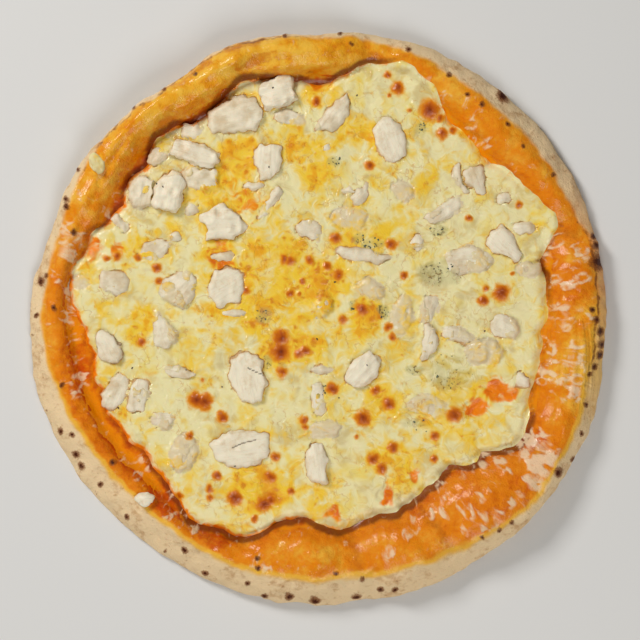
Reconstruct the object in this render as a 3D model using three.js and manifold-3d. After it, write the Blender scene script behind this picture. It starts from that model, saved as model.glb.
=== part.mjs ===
// A whole baked buffalo chicken pizza: a bread base with a wide, uneven rim, a film of orange buffalo sauce,
// a sheet of melted cheese that laps up the rim in places, and slices and chunks of chicken breast set in it.
// Millimetres, +Z up. The origin is the middle of the flat underside, and +Y is the far side of the pizza.
// Angles are in degrees, anticlockwise from +X as seen from above.
import * as THREE from "three";
import { mergeVertices } from "three/addons/utils/BufferGeometryUtils.js";
import Module from "manifold-3d";

const wasm = await Module();
wasm.setup();

// ---- Driving dimensions -------------------------------------------------------------------------------

const PIZZA_RADIUS = 158.8; // mean radius of the rim's outside
const BASE_THICKNESS = 4; // dough under the sauce
const SAUCE_THICKNESS = 1;
const CHEESE_THICKNESS = 3.8;
const GAP = 0.35; // kept between pieces that touch
const LAP_FILM = 1.3; // cheese where it runs up on the rim

const SAUCE_BOTTOM = BASE_THICKNESS + GAP;
const SAUCE_TOP = SAUCE_BOTTOM + SAUCE_THICKNESS;
const CHEESE_BOTTOM = SAUCE_TOP + GAP;
const CHEESE_LEVEL = CHEESE_BOTTOM + CHEESE_THICKNESS;

const RIM_SECTORS = 90;
const RIM_RINGS = 12;
const SAUCE_SECTORS = 45;
const CHEESE_CELLS = 26; // cells of the cheese sheet from side to side
const SLICE_CORNERS = 10; // corners round a piece of chicken

const TAU = Math.PI * 2;

// ---- The pizza's outline and rim, as stations round it ------------------------------------------------

// The outside is a circle with a few broad bulges and flats: [angle, bulge, spread].
const OUTSIDE_BULGES = [
  [42, 3.6, 13],
  [69, 3.8, 10],
  [107.5, 4.3, 5],
  [123, -4.5, 15],
  [161, -2.2, 5.5],
  [193, 2.1, 12.5],
  [241, -2, 17],
  [335, 3.6, 30],
  [356, -2.4, 6],
];

// The rim's foot, where its inner slope meets the sauce and cheese: [angle, radius].
const RIM_FOOT = [
  [0, 125],
  [12, 128],
  [30, 133],
  [46, 129],
  [55, 130.5],
  [62, 136],
  [71, 143],
  [79, 141],
  [85, 132],
  [97, 132],
  [106, 137],
  [118, 130],
  [131, 133],
  [152, 129.5],
  [165, 135],
  [172, 140],
  [187, 136],
  [209, 132],
  [222, 128],
  [238, 132],
  [250, 128],
  [259, 113],
  [269, 109.5],
  [278, 118],
  [286, 111],
  [295, 113],
  [303, 108.5],
  [311, 107],
  [320, 114],
  [329, 129],
  [342, 124],
];

// How far the cheese laps over the rim's foot, or stops short of it where sauce shows: [angle, distance].
const CHEESE_LAP = [
  [10, 0],
  [14, 0],
  [17.5, -7],
  [19.5, 0],
  [22, 17.5],
  [25, 12.5],
  [30, 4.5],
  [37, 2],
  [47, 0],
  [57, 2],
  [66, 6],
  [74, 8],
  [81, 0],
  [90, -1],
  [106, 1],
  [118, -1],
  [131, 0],
  [139, -3],
  [160, -2],
  [169, 0],
  [177, -8],
  [205, -7],
  [222, -7],
  [238, -3],
  [254, 0],
  [290, 0],
  [318, 1],
];

// Height of the rim's crest: [angle, height].
const RIM_CREST = [
  [0, 17.5],
  [14, 16],
  [21, 13],
  [30, 16],
  [48, 18.5],
  [65, 17],
  [77, 14.5],
  [88, 20],
  [102, 22],
  [122, 22],
  [138, 20.5],
  [152, 18],
  [166, 15],
  [190, 14],
  [215, 15],
  [242, 16.5],
  [256, 19],
  [268, 22.5],
  [290, 23],
  [312, 24],
  [326, 21.5],
  [340, 18],
];

// Width, seen from above, of the pale sloping side outside the crust's browned top: [angle, run].
const SIDE_RUN = [
  [0, 6],
  [16, 4],
  [28, 8],
  [45, 8.5],
  [62, 7],
  [76, 4],
  [88, 2],
  [140, 1.5],
  [154, 4],
  [168, 9],
  [182, 12],
  [204, 12.5],
  [224, 14],
  [250, 12],
  [272, 14],
  [288, 12.5],
  [304, 9],
  [318, 3.5],
  [332, 6],
  [344, 8],
];

// Creases that part the rim into lobes: [angle, depth, spread].
const RIM_CREASES = [
  [18, 3, 2.5],
  [79, 3, 2.5],
  [147, 2, 3],
  [278.5, 5, 3.5],
  [300, 3.5, 3],
  [329, 2.5, 3],
];

// ---- The chicken ---------------------------------------------------------------------------------------

// A cut of chicken breast: its thickness, how square its corners are (2 is an oval), how uneven its edge is,
// and its colour.
const CUTS = {
  oval: { thickness: 4.6, square: 2.2, uneven: 0.07, colour: 0xeadfcb },
  block: { thickness: 7.5, square: 3.6, uneven: 0.08, colour: 0xf2e9db },
  torn: { thickness: 5.6, square: 2.8, uneven: 0.2, colour: 0xe8dcc6 },
  wedge: { thickness: 4.8, square: 2.4, uneven: 0.07, taper: 0.5, colour: 0xe9dfcd },
  sliver: { thickness: 3.8, square: 2.2, uneven: 0.08, bend: 0.5, colour: 0xe2d2ba },
};

// Each piece, uppermost first: [cut, x, y, length, width, turn, height that stands above the cheese].
const CHICKEN = [
  ["block", -22, 125, 21, 19, 20, 5.5],
  ["torn", -70, 92, 32, 15, -18, 4.5],
  ["block", -82, 70, 23, 17, 80, 5.5],
  ["torn", -53, 53, 23, 20, 20, 4],
  ["oval", -51, 18, 23, 22, 60, 3],
  ["oval", -39, -32, 32, 22, -76, 3],
  ["oval", -42, -71, 34, 23, 5, 3.2],
  ["block", -1, -79, 25, 13, -82, 4],
  ["block", 25, -28, 23, 14, 50, 4],
  ["wedge", -27, 87, 23, 16, -98, 3],
  ["oval", 40, 99, 28, 17, -72, 2.8],
  ["oval", -45, 113, 35, 21, 14, 3],
  ["wedge", 103, 41, 24, 15, -42, 3.2],
  ["wedge", -76, 18, 25, 19, 50, 2.4],
  ["wedge", -86, -6, 23, 15, 105, 2.4],
  ["oval", -116, -15, 22, 14, -55, 3.4],
  ["oval", -112, -40, 24, 13, 62, 2.4],
  ["wedge", 87, 77, 19, 12, -65, 2.6],
  ["torn", -65, 78, 24, 17, 5, 2.4],
  ["oval", -97, 71, 20, 19, 0, 2.6],
  ["sliver", 60, -13, 25, 11, 80, 2.6],
  ["oval", 91, -18, 24, 17, 5, 2.2],
  ["sliver", -27, 64, 24, 7, 58, 2.2],
  ["sliver", 25, 36, 33, 8, -10, 2],
  ["oval", -17, 112, 19, 11, -15, 2],
  ["sliver", 9, 114, 29, 12, 48, 1.8],
  ["sliver", 79, 78, 20, 9, -68, 2],
  ["sliver", 69, 61, 28, 11, 32, 2.2],
  ["oval", 83, 33, 28, 18, 0, 1.8],
  ["oval", 103, -4, 20, 14, -20, 1.8],
  ["oval", 77, -8, 22, 10, -15, 1.8],
  ["block", 113, -34, 11, 10, 0, 2.4],
  ["block", 61, 6, 18, 12, 80, 1.8],
  ["oval", -113, 21, 19, 14, -20, 2],
  ["torn", -99, -42, 22, 13, 80, 1.8],
  ["sliver", -77, -29, 21, 9, -8, 2],
  ["oval", -74, -73, 22, 19, 70, 1.8],
  ["torn", -90, 38, 18, 12, 25, 1.8],
  ["torn", 0, -44, 19, 10, 100, 1.8],
  ["torn", -71, 104, 13, 10, 10, 2],
  ["oval", -89, 89, 14, 9, 50, 1.8],
  ["block", -110, 53, 13, 8, -50, 3],
  ["torn", 23, 69, 12, 10, 40, 1.6],
  ["torn", 18, 57, 24, 13, -10, 1.2],
  ["oval", 46, 72, 17, 13, -60, 1.2],
  ["oval", -5, 50, 17, 13, -20, 1.6],
  ["torn", 29, 17, 18, 13, -30, 1.6],
  ["oval", 47, 3, 28, 13, 85, 1.2],
  ["oval", 2, 8, 18, 15, 60, 1],
  ["oval", 60, -47, 25, 15, -8, 1.4],
  ["oval", 3, -61, 22, 12, 10, 1.2],
  ["oval", -131, 21, 15, 11, 0, 1],
  ["oval", -86, -55, 14, 12, 0, 1.5],
  ["sliver", -54, 35, 15, 6, 0, 1.6],
];

// Scraps that lie on the rim itself: [node, x, y, length, width, turn, thickness, colour].
const RIM_SCRAPS = [
  ["chicken_on_rim", -95.5, -99.5, 11, 7, 5, 3.5, 0xf0e4cd],
  ["cheese_dab", -122, 86, 14, 9, -58, 2.6, 0xf3dfae],
];

// ---- Small functions -----------------------------------------------------------------------------------

// Repeatable random numbers from 0 to 1.
function randomFrom(seed) {
  let state = seed * 2654435761;
  return () => {
    state = (state + 0x6d2b79f5) | 0;
    let t = Math.imul(state ^ (state >>> 15), 1 | state);
    t = (t + Math.imul(t ^ (t >>> 7), 61 | t)) ^ t;
    return ((t ^ (t >>> 14)) >>> 0) / 4294967296;
  };
}

// Shortest way round from one angle to another, in degrees.
function apart(a, b) {
  return THREE.MathUtils.euclideanModulo(a - b + 180, 360) - 180;
}

// A value that runs smoothly round the pizza through [angle, value] stations.
function roundStations(stations) {
  return (angle) => {
    const at = THREE.MathUtils.euclideanModulo(angle, 360);
    const next = stations.findIndex(([a]) => a > at);
    const [a1, v1] = stations[next < 0 ? 0 : next];
    const [a0, v0] = stations.at(next < 0 ? -1 : next - 1);
    const share = THREE.MathUtils.euclideanModulo(at - a0, 360) / THREE.MathUtils.euclideanModulo(a1 - a0, 360);
    return THREE.MathUtils.lerp(v0, v1, THREE.MathUtils.smoothstep(share, 0, 1));
  };
}

// The sum of the bell-shaped [angle, size, spread] bumps at an angle.
function bumps(list, angle) {
  return list.reduce((sum, [at, size, spread]) => sum + size * Math.exp(-0.5 * (apart(angle, at) / spread) ** 2), 0);
}

// Soft unevenness from crossed waves, between about -1 and 1.
function unevenness(x, y, wavelength) {
  const k = TAU / wavelength;
  const broad = Math.sin(k * (0.93 * x + 0.37 * y) + 1.3) * Math.sin(k * (0.88 * y - 0.31 * x) + 0.4);
  const fine = Math.sin(k * 2.1 * (0.5 * x - 0.86 * y) + 2.2) * Math.sin(k * 1.9 * (0.7 * x + 0.71 * y) + 5.1);
  return 0.68 * broad + 0.32 * fine;
}

const rimFoot = roundStations(RIM_FOOT);
const cheeseLap = roundStations(CHEESE_LAP);
const rimCrest = roundStations(RIM_CREST);
const sideRun = roundStations(SIDE_RUN);

// ---- Shapes --------------------------------------------------------------------------------------------

// A closed mesh from rings of equal count, from a first centre point outwards and back to a last centre point.
function ringedGeometry(first, rings, last) {
  const count = rings[0].length;
  const positions = [first, ...rings.flat(), last].flatMap((p) => [p.x, p.y, p.z]);
  const end = 1 + rings.length * count;
  const index = [];
  for (let j = 0; j < count; j++) {
    const k = (j + 1) % count;
    index.push(0, 1 + k, 1 + j);
    for (let i = 0; i + 1 < rings.length; i++) {
      const low = 1 + i * count;
      const high = low + count;
      index.push(low + j, low + k, high + k, low + j, high + k, high + j);
    }
    index.push(end, end - count + j, end - count + k);
  }
  const geometry = new THREE.BufferGeometry();
  geometry.setAttribute("position", new THREE.Float32BufferAttribute(positions, 3));
  geometry.setIndex(index);
  return geometry;
}

function solidFrom(geometry) {
  const bare = geometry.clone();
  bare.deleteAttribute("normal");
  bare.deleteAttribute("uv");
  const merged = mergeVertices(bare, 1e-4);
  return new wasm.Manifold(
    new wasm.Mesh({
      numProp: 3,
      vertProperties: new Float32Array(merged.attributes.position.array),
      triVerts: new Uint32Array(merged.index.array),
    }),
  );
}

// The largest piece of a solid: a loose scrap that a cut leaves is dropped.
function largest(solid) {
  return solid.decompose().reduce((best, piece) => (piece.volume() > best.volume() ? piece : best));
}

function meshOf(name, solid, material) {
  const { vertProperties, triVerts } = largest(solid).getMesh();
  const geometry = new THREE.BufferGeometry();
  geometry.setAttribute("position", new THREE.BufferAttribute(vertProperties, 3));
  geometry.setIndex(new THREE.BufferAttribute(triVerts, 1));
  geometry.computeVertexNormals();
  const mesh = new THREE.Mesh(geometry, material);
  mesh.name = name;
  return mesh;
}

function food(color, roughness) {
  return new THREE.MeshStandardMaterial({ color, roughness, metalness: 0 });
}

// ---- Crust ---------------------------------------------------------------------------------------------

// The rim's section at an angle, from the underside's edge round the outside and over the crest to the foot.
function rimSection(angle) {
  const outside = PIZZA_RADIUS + bumps(OUTSIDE_BULGES, angle) - 0.25 * bumps(RIM_CREASES, angle);
  const foot = rimFoot(angle);
  const run = sideRun(angle);
  const crest = rimCrest(angle) - bumps(RIM_CREASES, angle);
  const widestHeight = THREE.MathUtils.mapLinear(run, 0, 14, 0.46, 0.16) * crest; // a steep side bellies out higher up
  const shoulder = outside - run;
  const top = shoulder - foot;
  return new THREE.SplineCurve([
    new THREE.Vector2(outside - 7, 0),
    new THREE.Vector2(outside - 2, 0.25 * widestHeight),
    new THREE.Vector2(outside, widestHeight),
    new THREE.Vector2(outside - 0.45 * run - 0.4, THREE.MathUtils.lerp(widestHeight, crest, 0.5)),
    new THREE.Vector2(shoulder - 0.05 * top, 0.87 * crest),
    new THREE.Vector2(shoulder - 0.26 * top, crest),
    new THREE.Vector2(shoulder - 0.52 * top, 0.96 * crest),
    new THREE.Vector2(shoulder - 0.8 * top, THREE.MathUtils.lerp(BASE_THICKNESS, crest, 0.68)),
    new THREE.Vector2(foot + 0.04 * top, BASE_THICKNESS + 1.6),
    new THREE.Vector2(foot - 4, BASE_THICKNESS),
  ]);
}

function pointAt(angle, radius, z) {
  const a = THREE.MathUtils.degToRad(angle);
  return new THREE.Vector3(radius * Math.cos(a), radius * Math.sin(a), z);
}

function crustSolid() {
  const rings = Array.from({ length: RIM_RINGS + 1 }, () => []);
  for (let j = 0; j < RIM_SECTORS; j++) {
    const angle = (360 * j) / RIM_SECTORS;
    const section = rimSection(angle);
    rings.forEach((ring, i) => {
      const share = i / RIM_RINGS;
      const { x: radius, y: z } = section.getPoint(share);
      const p = pointAt(angle, radius, z);
      const relief = Math.sin(Math.PI * share) * unevenness(p.x, p.y, 34); // none on the base
      ring.push(pointAt(angle, radius + 0.5 * relief, Math.max(0, z + 0.9 * relief * (i > 2 ? 1 : 0))));
    });
  }
  return solidFrom(ringedGeometry(new THREE.Vector3(), rings, new THREE.Vector3(0, 0, BASE_THICKNESS)));
}

// Height of the crust's inner slope at a distance from the middle.
function crustHeightAt(angle, radius) {
  if (radius <= rimFoot(angle) - 4) return BASE_THICKNESS;
  const slope = rimSection(angle)
    .getPoints(48)
    .reverse();
  const above = slope.findIndex((p) => p.x >= radius);
  return above < 0 ? BASE_THICKNESS : slope[above].y;
}

// ---- Sauce and cheese ----------------------------------------------------------------------------------

// A pool of sauce whose edge turns up against the rim. Grown, it is the room that the sauce needs.
function poolSolid(grow = 0) {
  const inner = [];
  const edgeTop = [];
  const edgeBottom = [];
  const outward = 3 * grow; // the edge leans out, so it needs more room sideways
  for (let j = 0; j < SAUCE_SECTORS; j++) {
    const angle = (360 * j) / SAUCE_SECTORS;
    const foot = rimFoot(angle);
    inner.push(pointAt(angle, foot - 6, SAUCE_TOP + grow));
    edgeTop.push(pointAt(angle, foot - 2 + outward, SAUCE_TOP + 0.25 + grow));
    edgeBottom.push(pointAt(angle, foot - 5 + outward, SAUCE_BOTTOM - grow));
  }
  return solidFrom(
    ringedGeometry(
      new THREE.Vector3(0, 0, SAUCE_BOTTOM - grow),
      [edgeBottom, edgeTop, inner],
      new THREE.Vector3(0, 0, SAUCE_TOP + grow),
    ),
  );
}

function cheeseEdge(angle) {
  const scallop = 1.1 * Math.sin(THREE.MathUtils.degToRad(angle * 23)) + 0.8 * Math.sin(THREE.MathUtils.degToRad(angle * 41));
  return rimFoot(angle) + cheeseLap(angle) + scallop;
}

// The cheese's upper side: level in the middle, thin at its edge, and lying up on the rim where it laps over.
function cheeseTop(x, y) {
  const angle = THREE.MathUtils.radToDeg(Math.atan2(y, x));
  const radius = Math.hypot(x, y);
  const fromEdge = cheeseEdge(angle) - radius;
  const level = CHEESE_LEVEL + 0.7 * unevenness(x, y, 46);
  const thinning = (1 - THREE.MathUtils.smoothstep(fromEdge, 0, 10)) * (CHEESE_THICKNESS - LAP_FILM);
  return Math.max(level - thinning, crustHeightAt(angle, radius) + LAP_FILM);
}

// A point of the unit square's grid, moved to the unit disc so that its cells stay much the same size.
function squareToDisc(a, b) {
  if (a === 0 && b === 0) return { radius: 0, angle: 0 };
  return Math.abs(a) > Math.abs(b)
    ? { radius: Math.abs(a), angle: 45 * (b / a) + (a < 0 ? 180 : 0) }
    : { radius: Math.abs(b), angle: 90 - 45 * (a / b) + (b < 0 ? 180 : 0) };
}

function cheeseSolid(bed) {
  const n = CHEESE_CELLS;
  const positions = [];
  for (let i = 0; i <= n; i++)
    for (let j = 0; j <= n; j++) {
      const { radius, angle } = squareToDisc((2 * i) / n - 1, (2 * j) / n - 1);
      const p = pointAt(angle, radius * cheeseEdge(angle), 0);
      positions.push(p.x, p.y, cheeseTop(p.x, p.y));
    }
  const index = [];
  for (let i = 0; i < n; i++)
    for (let j = 0; j < n; j++) {
      const corners = [i * (n + 1) + j, (i + 1) * (n + 1) + j, (i + 1) * (n + 1) + j + 1, i * (n + 1) + j + 1];
      if (i < n / 2 !== j < n / 2) corners.push(corners.shift()); // cells are cut in two along a line from the middle
      const [a, b, c, d] = corners;
      index.push(a, b, c, a, c, d);
    }
  // The edge, anticlockwise, gets a wall down to a flat underside.
  const side = [...Array(n).keys()];
  const edge = [
    ...side.map((i) => i * (n + 1)),
    ...side.map((j) => n * (n + 1) + j),
    ...side.map((i) => (n - i) * (n + 1) + n),
    ...side.map((j) => n - j),
  ];
  const low = positions.length / 3;
  for (const e of edge) positions.push(positions[3 * e], positions[3 * e + 1], CHEESE_BOTTOM);
  const middle = positions.length / 3;
  positions.push(0, 0, CHEESE_BOTTOM);
  edge.forEach((e, i) => {
    const k = (i + 1) % edge.length;
    index.push(e, low + i, low + k, e, low + k, edge[k], middle, low + k, low + i);
  });
  const geometry = new THREE.BufferGeometry();
  geometry.setAttribute("position", new THREE.Float32BufferAttribute(positions, 3));
  geometry.setIndex(index);
  return solidFrom(geometry).subtract(bed);
}

// ---- Chicken -------------------------------------------------------------------------------------------

// A cut of chicken lying on its face, its underside at z = 0. Grown by a clearance, it is the room that the piece
// needs, and open upwards it is the hollow that it leaves in the cheese.
function cutGeometry({ thickness, square, uneven, taper = 0, bend = 0 }, length, width, seed, grow = 0, open = 0) {
  const random = randomFrom(seed);
  const corners = Array.from({ length: SLICE_CORNERS }, (_, i) => {
    const a = (TAU * (i + 0.5 * (random() - 0.5))) / SLICE_CORNERS;
    const [c, s] = [Math.cos(a), Math.sin(a)];
    const reach = (Math.abs(c) ** square + Math.abs(s) ** square) ** (-1 / square) * (1 + uneven * (random() * 2 - 1));
    const x = 0.5 * length * c * reach;
    const y = 0.5 * width * (s * reach * (1 - taper * c) + bend * (c * c - 0.5));
    return { x, y, lift: 0.16 * thickness * (random() - 0.5) };
  });
  const ring = (scale, z, lift) =>
    corners.map((p) => {
      const away = Math.hypot(p.x, p.y);
      const size = scale + (scale > 0.6 ? grow / away : 0);
      return new THREE.Vector3(p.x * size, p.y * size, z + lift * p.lift);
    });
  const rings = open
    ? [ring(1, -grow, 0), ring(1, thickness + open, 0)]
    : [ring(0.84, -grow, 0), ring(1, 0.42 * thickness, 0), ring(0.93, 0.88 * thickness + grow, 1)];
  const middle = new THREE.Vector3(0, 0, thickness + (open || grow));
  return ringedGeometry(new THREE.Vector3(0, 0, -grow), rings, middle);
}

// Sets a piece down in the cheese at its turn, with a slight tilt of its own.
function placement(x, y, z, turn, seed) {
  const random = randomFrom(seed + 500);
  const tilt = new THREE.Euler(0.14 * (random() - 0.5), 0.14 * (random() - 0.5), THREE.MathUtils.degToRad(turn), "ZYX");
  return new THREE.Matrix4().makeRotationFromEuler(tilt).setPosition(x, y, z);
}

function near(a, b) {
  const [p, q] = [a.boundingBox(), b.boundingBox()];
  return [0, 1, 2].every((i) => p.min[i] < q.max[i] && q.min[i] < p.max[i]);
}

function buildChicken(bed) {
  const pieces = [];
  CHICKEN.forEach(([kind, x, y, length, width, turn, proud], i) => {
    const cut = CUTS[kind];
    const seed = i + 1;
    const place = placement(x, y, cheeseTop(x, y) + proud - cut.thickness, turn, seed);
    const made = (grow, open) => solidFrom(cutGeometry(cut, length, width, seed, grow, open).applyMatrix4(place));
    let solid = made();
    for (const above of pieces) if (near(above.room, solid)) solid = solid.subtract(above.room);
    solid = largest(solid.subtract(bed));
    pieces.push({ solid, room: made(GAP), hollow: made(GAP, 6), colour: cut.colour });
  });
  return pieces;
}

// A scrap on the rim lies on the crust's slope.
function buildRimScrap([name, x, y, length, width, turn, thickness, colour], i, bed) {
  const angle = THREE.MathUtils.radToDeg(Math.atan2(y, x));
  const height = crustHeightAt(angle, Math.hypot(x, y));
  const cut = { thickness: thickness + 2, square: 2.3, uneven: 0.12 };
  const place = placement(x, y, height - 2, turn, 900 + i);
  const solid = solidFrom(cutGeometry(cut, length, width, 900 + i).applyMatrix4(place)).subtract(bed);
  return meshOf(name, solid, food(colour, 0.6));
}

// ---- The pizza -----------------------------------------------------------------------------------------

const crust = crustSolid();
const raisedCrust = crust.translate([0, 0, GAP]);
const sauce = poolSolid().subtract(raisedCrust);
const bed = raisedCrust.add(poolSolid(GAP)); // what the cheese and chicken must stay clear of
const chicken = buildChicken(bed);
let cheese = cheeseSolid(bed);
for (const { hollow } of chicken) cheese = cheese.subtract(hollow);

const pizza = new THREE.Group();
pizza.name = "pizza";
pizza.add(
  meshOf("crust", crust, food(0xd98f35, 0.75)),
  meshOf("sauce", sauce, food(0xc8480c, 0.35)),
  meshOf("cheese", cheese, food(0xe8d98a, 0.45)),
  ...chicken.map(({ solid, colour }, i) =>
    meshOf(`chicken_${String(i + 1).padStart(2, "0")}`, solid, food(colour, 0.6)),
  ),
  ...RIM_SCRAPS.map((scrap, i) => buildRimScrap(scrap, i, bed)),
);

// The origin goes to the middle of the outline's box.
const middle = new THREE.Box3().setFromObject(pizza).getCenter(new THREE.Vector3());
pizza.position.set(-middle.x, -middle.y, 0);

export default pizza;
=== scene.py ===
"""Looks of a buffalo chicken pizza: crust, hot sauce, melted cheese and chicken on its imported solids."""
import itertools
import logging
import math
import random
from collections.abc import Callable
from dataclasses import dataclass, field
from enum import Enum

import bpy
import numpy as np
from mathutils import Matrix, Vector, geometry
from mathutils.bvhtree import BVHTree


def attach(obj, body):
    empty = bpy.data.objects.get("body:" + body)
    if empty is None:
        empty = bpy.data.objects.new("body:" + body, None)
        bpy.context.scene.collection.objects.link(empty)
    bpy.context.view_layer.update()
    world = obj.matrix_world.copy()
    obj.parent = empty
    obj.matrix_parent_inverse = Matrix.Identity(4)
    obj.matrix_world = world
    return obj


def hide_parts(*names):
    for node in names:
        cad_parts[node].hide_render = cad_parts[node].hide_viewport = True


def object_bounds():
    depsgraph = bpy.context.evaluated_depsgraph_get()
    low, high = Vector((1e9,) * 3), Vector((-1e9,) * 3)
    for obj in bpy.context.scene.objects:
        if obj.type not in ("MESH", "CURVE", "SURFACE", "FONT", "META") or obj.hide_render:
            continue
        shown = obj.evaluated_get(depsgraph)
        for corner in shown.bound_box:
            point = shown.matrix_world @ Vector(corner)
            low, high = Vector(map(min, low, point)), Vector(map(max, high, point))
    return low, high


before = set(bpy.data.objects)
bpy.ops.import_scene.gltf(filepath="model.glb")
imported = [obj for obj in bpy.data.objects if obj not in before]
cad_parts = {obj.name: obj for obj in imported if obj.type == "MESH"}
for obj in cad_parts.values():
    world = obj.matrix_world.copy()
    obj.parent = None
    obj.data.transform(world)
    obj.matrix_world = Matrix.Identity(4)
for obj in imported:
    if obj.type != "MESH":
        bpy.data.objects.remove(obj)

log = logging.getLogger("pizza")

MM = 0.001
CAD_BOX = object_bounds()

# The photograph looks straight down: its pixel at the pizza's centre, and how much a pixel shows.
CENTRE_COLUMN = 318
CENTRE_ROW = 319
MM_PER_PIXEL = 0.5517
PHOTO_PIXELS = 640
# Rays that look for a surface start this high, in metres, above everything.
RAY_START = 0.1
# The top of the crust's floor, in millimetres: where a ray that meets no surface is taken to land.
FLOOR_TOP = 4.0
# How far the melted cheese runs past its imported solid: (angle in degrees, millimetres).
CHEESE_REACH = (
    (150, 0.0), (163, 2.5), (180, 3.0), (190, 0.0), (280, 0.0), (292, 1.8), (318, 2.0), (330, 0.0),
)
# A notch in the cheese's solid that is deeper than this, in millimetres, was cut by a slice of chicken.
NOTCH_DEPTH = 5.0
# How ragged the cheese's outline is: (height in millimetres, size in millimetres, seed), read on a ring.
EDGE_RAGS = ((1.6, 9.0, 41), (0.8, 4.0, 42))
EDGE_RING = 125.0
# The coordinates of the film start and end at this angle, where the rim carries none.
FILM_SEAM = 115.0
FILM_RING = 130.0
# How much longer the film's marks are outwards than along the rim.
FILM_STRETCH = 1.7

# A colour that is laid on another: a node's socket, or a hex value.
Paint = str | bpy.types.NodeSocket
# Values that change round the pizza: (angle in degrees, value).
Stations = tuple[tuple[float, float], ...]


# ---- Small tools -----------------------------------------------------------------------------------------


def linear(colour: str) -> tuple[float, float, float, float]:
    """Turns an sRGB hex colour into linear values.

    Args:
        colour: The colour, such as "#e8dcb0".

    Returns:
        Linear red, green, blue and an alpha of 1.
    """
    shares = [int(colour[i : i + 2], 16) / 255 for i in (1, 3, 5)]
    return (*[s / 12.92 if s <= 0.04045 else ((s + 0.055) / 1.055) ** 2.4 for s in shares], 1.0)


def repeats(size: float) -> float:
    """Gives the texture scale on metre coordinates for a pattern whose grains are `size` mm wide."""
    return 1.0 / (size * MM)


def add_node(tree: bpy.types.NodeTree, kind: str, inputs: dict | None = None, **settings) -> bpy.types.Node:
    """Adds a shader node, gives it its settings, and fills or links its inputs.

    Args:
        tree: The material's node tree.
        kind: The node's type name, after the "ShaderNode" that all of them begin with.
        inputs: A value or another node's socket for each input, by name or number.
        **settings: The node's own properties; `stops` fills a colour ramp from (place, hex colour) pairs.

    Returns:
        The new node.
    """
    node = tree.nodes.new(f"ShaderNode{kind}")
    stops = settings.pop("stops", None)
    for name, value in settings.items():
        setattr(node, name, value)
    for key, value in (inputs or {}).items():
        if isinstance(value, bpy.types.NodeSocket):
            tree.links.new(value, node.inputs[key])
        else:
            node.inputs[key].default_value = value
    if stops:
        elements = node.color_ramp.elements
        while len(elements) < len(stops):
            elements.new(1.0)
        for element, (place, colour) in zip(elements, stops):
            element.position = place
            element.color = linear(colour)
    return node


def lay(
    tree: bpy.types.NodeTree, under: Paint, over: Paint, amount: bpy.types.NodeSocket,
    low: float = 0.0, high: float = 1.0, most: float = 1.0,
) -> bpy.types.NodeSocket:
    """Lays one colour over another where an amount passes from `low` to `high`.

    Args:
        tree: The material's node tree.
        under: The colour beneath, as a socket or a hex colour.
        over: The colour laid on it, as a socket or a hex colour.
        amount: The socket that says where.
        low: The amount at which the upper colour begins.
        high: The amount at which it is fullest.
        most: Its share where it is fullest.

    Returns:
        The socket of the mixed colour.
    """
    under, over = (linear(paint) if isinstance(paint, str) else paint for paint in (under, over))
    limits = {0: amount, 1: low, 2: high, 3: 0.0, 4: most}
    share = add_node(tree, "MapRange", limits, interpolation_type="SMOOTHSTEP").outputs[0]
    return add_node(tree, "Mix", {0: share, 6: under, 7: over}, data_type="RGBA").outputs[2]


def unsettled(
    tree: bpy.types.NodeTree, amount: bpy.types.NodeSocket, noise: bpy.types.NodeSocket, swing: float
) -> bpy.types.NodeSocket:
    """Adds noise to an amount, `swing` from its lowest to its highest, without changing its mean."""
    shift = add_node(tree, "Math", {0: noise, 1: swing, 2: -0.5 * swing}, operation="MULTIPLY_ADD")
    return add_node(tree, "Math", {0: amount, 1: shift.outputs[0]}, operation="ADD").outputs[0]


def points_of(mesh: bpy.types.Mesh) -> np.ndarray:
    """Reads a mesh's vertices as rows of millimetres."""
    flat = np.empty(len(mesh.vertices) * 3, np.float32)
    mesh.vertices.foreach_get("co", flat)
    return flat.reshape(-1, 3).astype(float) / MM


def normals_of(mesh: bpy.types.Mesh) -> np.ndarray:
    """Reads a mesh's vertex normals, a row each."""
    flat = np.empty(len(mesh.vertices) * 3, np.float32)
    mesh.vertex_normals.foreach_get("vector", flat)
    return flat.reshape(-1, 3).astype(float)


def place_points(mesh: bpy.types.Mesh, points: np.ndarray) -> None:
    """Moves a mesh's vertices to rows of millimetres."""
    mesh.vertices.foreach_set("co", (points * MM).astype(np.float32).ravel())
    mesh.update()


def store(mesh: bpy.types.Mesh, name: str, values: np.ndarray) -> None:
    """Keeps one number, or one row of three, for each vertex under a name that the material reads."""
    values = np.asarray(values, np.float32)
    if values.ndim == 1:
        mesh.attributes.new(name, "FLOAT", "POINT").data.foreach_set("value", values)
    else:
        mesh.attributes.new(name, "FLOAT_VECTOR", "POINT").data.foreach_set("vector", values.ravel())


def eased(values: np.ndarray, low: float, high: float) -> np.ndarray:
    """Runs smoothly from 0 where the values are at `low` to 1 where they are at `high`."""
    share = np.clip((values - low) / (high - low), 0.0, 1.0)
    return share * share * (3.0 - 2.0 * share)


def soft_noise(points: np.ndarray, size: float, seed: int) -> np.ndarray:
    """Makes smooth random values that repeat on every run.

    Args:
        points: Rows of millimetres.
        size: The distance between random values, in millimetres.
        seed: A number that picks the pattern.

    Returns:
        A value from -1 to 1 for each point.
    """
    cells = points / size
    base = np.floor(cells).astype(np.int64)
    part = cells - base
    fade = part * part * (3.0 - 2.0 * part)
    total = np.zeros(len(points))
    for step in itertools.product((0, 1), repeat=3):
        key = (base + step) @ np.array([73856093, 19349663, 83492791]) + seed * 40503
        key = (key ^ (key >> 13)) * 1274126177
        value = ((key ^ (key >> 16)) & 0xFFFF) / 32767.5 - 1.0
        total += np.prod(np.where(step, fade, 1.0 - fade), axis=1) * value
    return total


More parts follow.
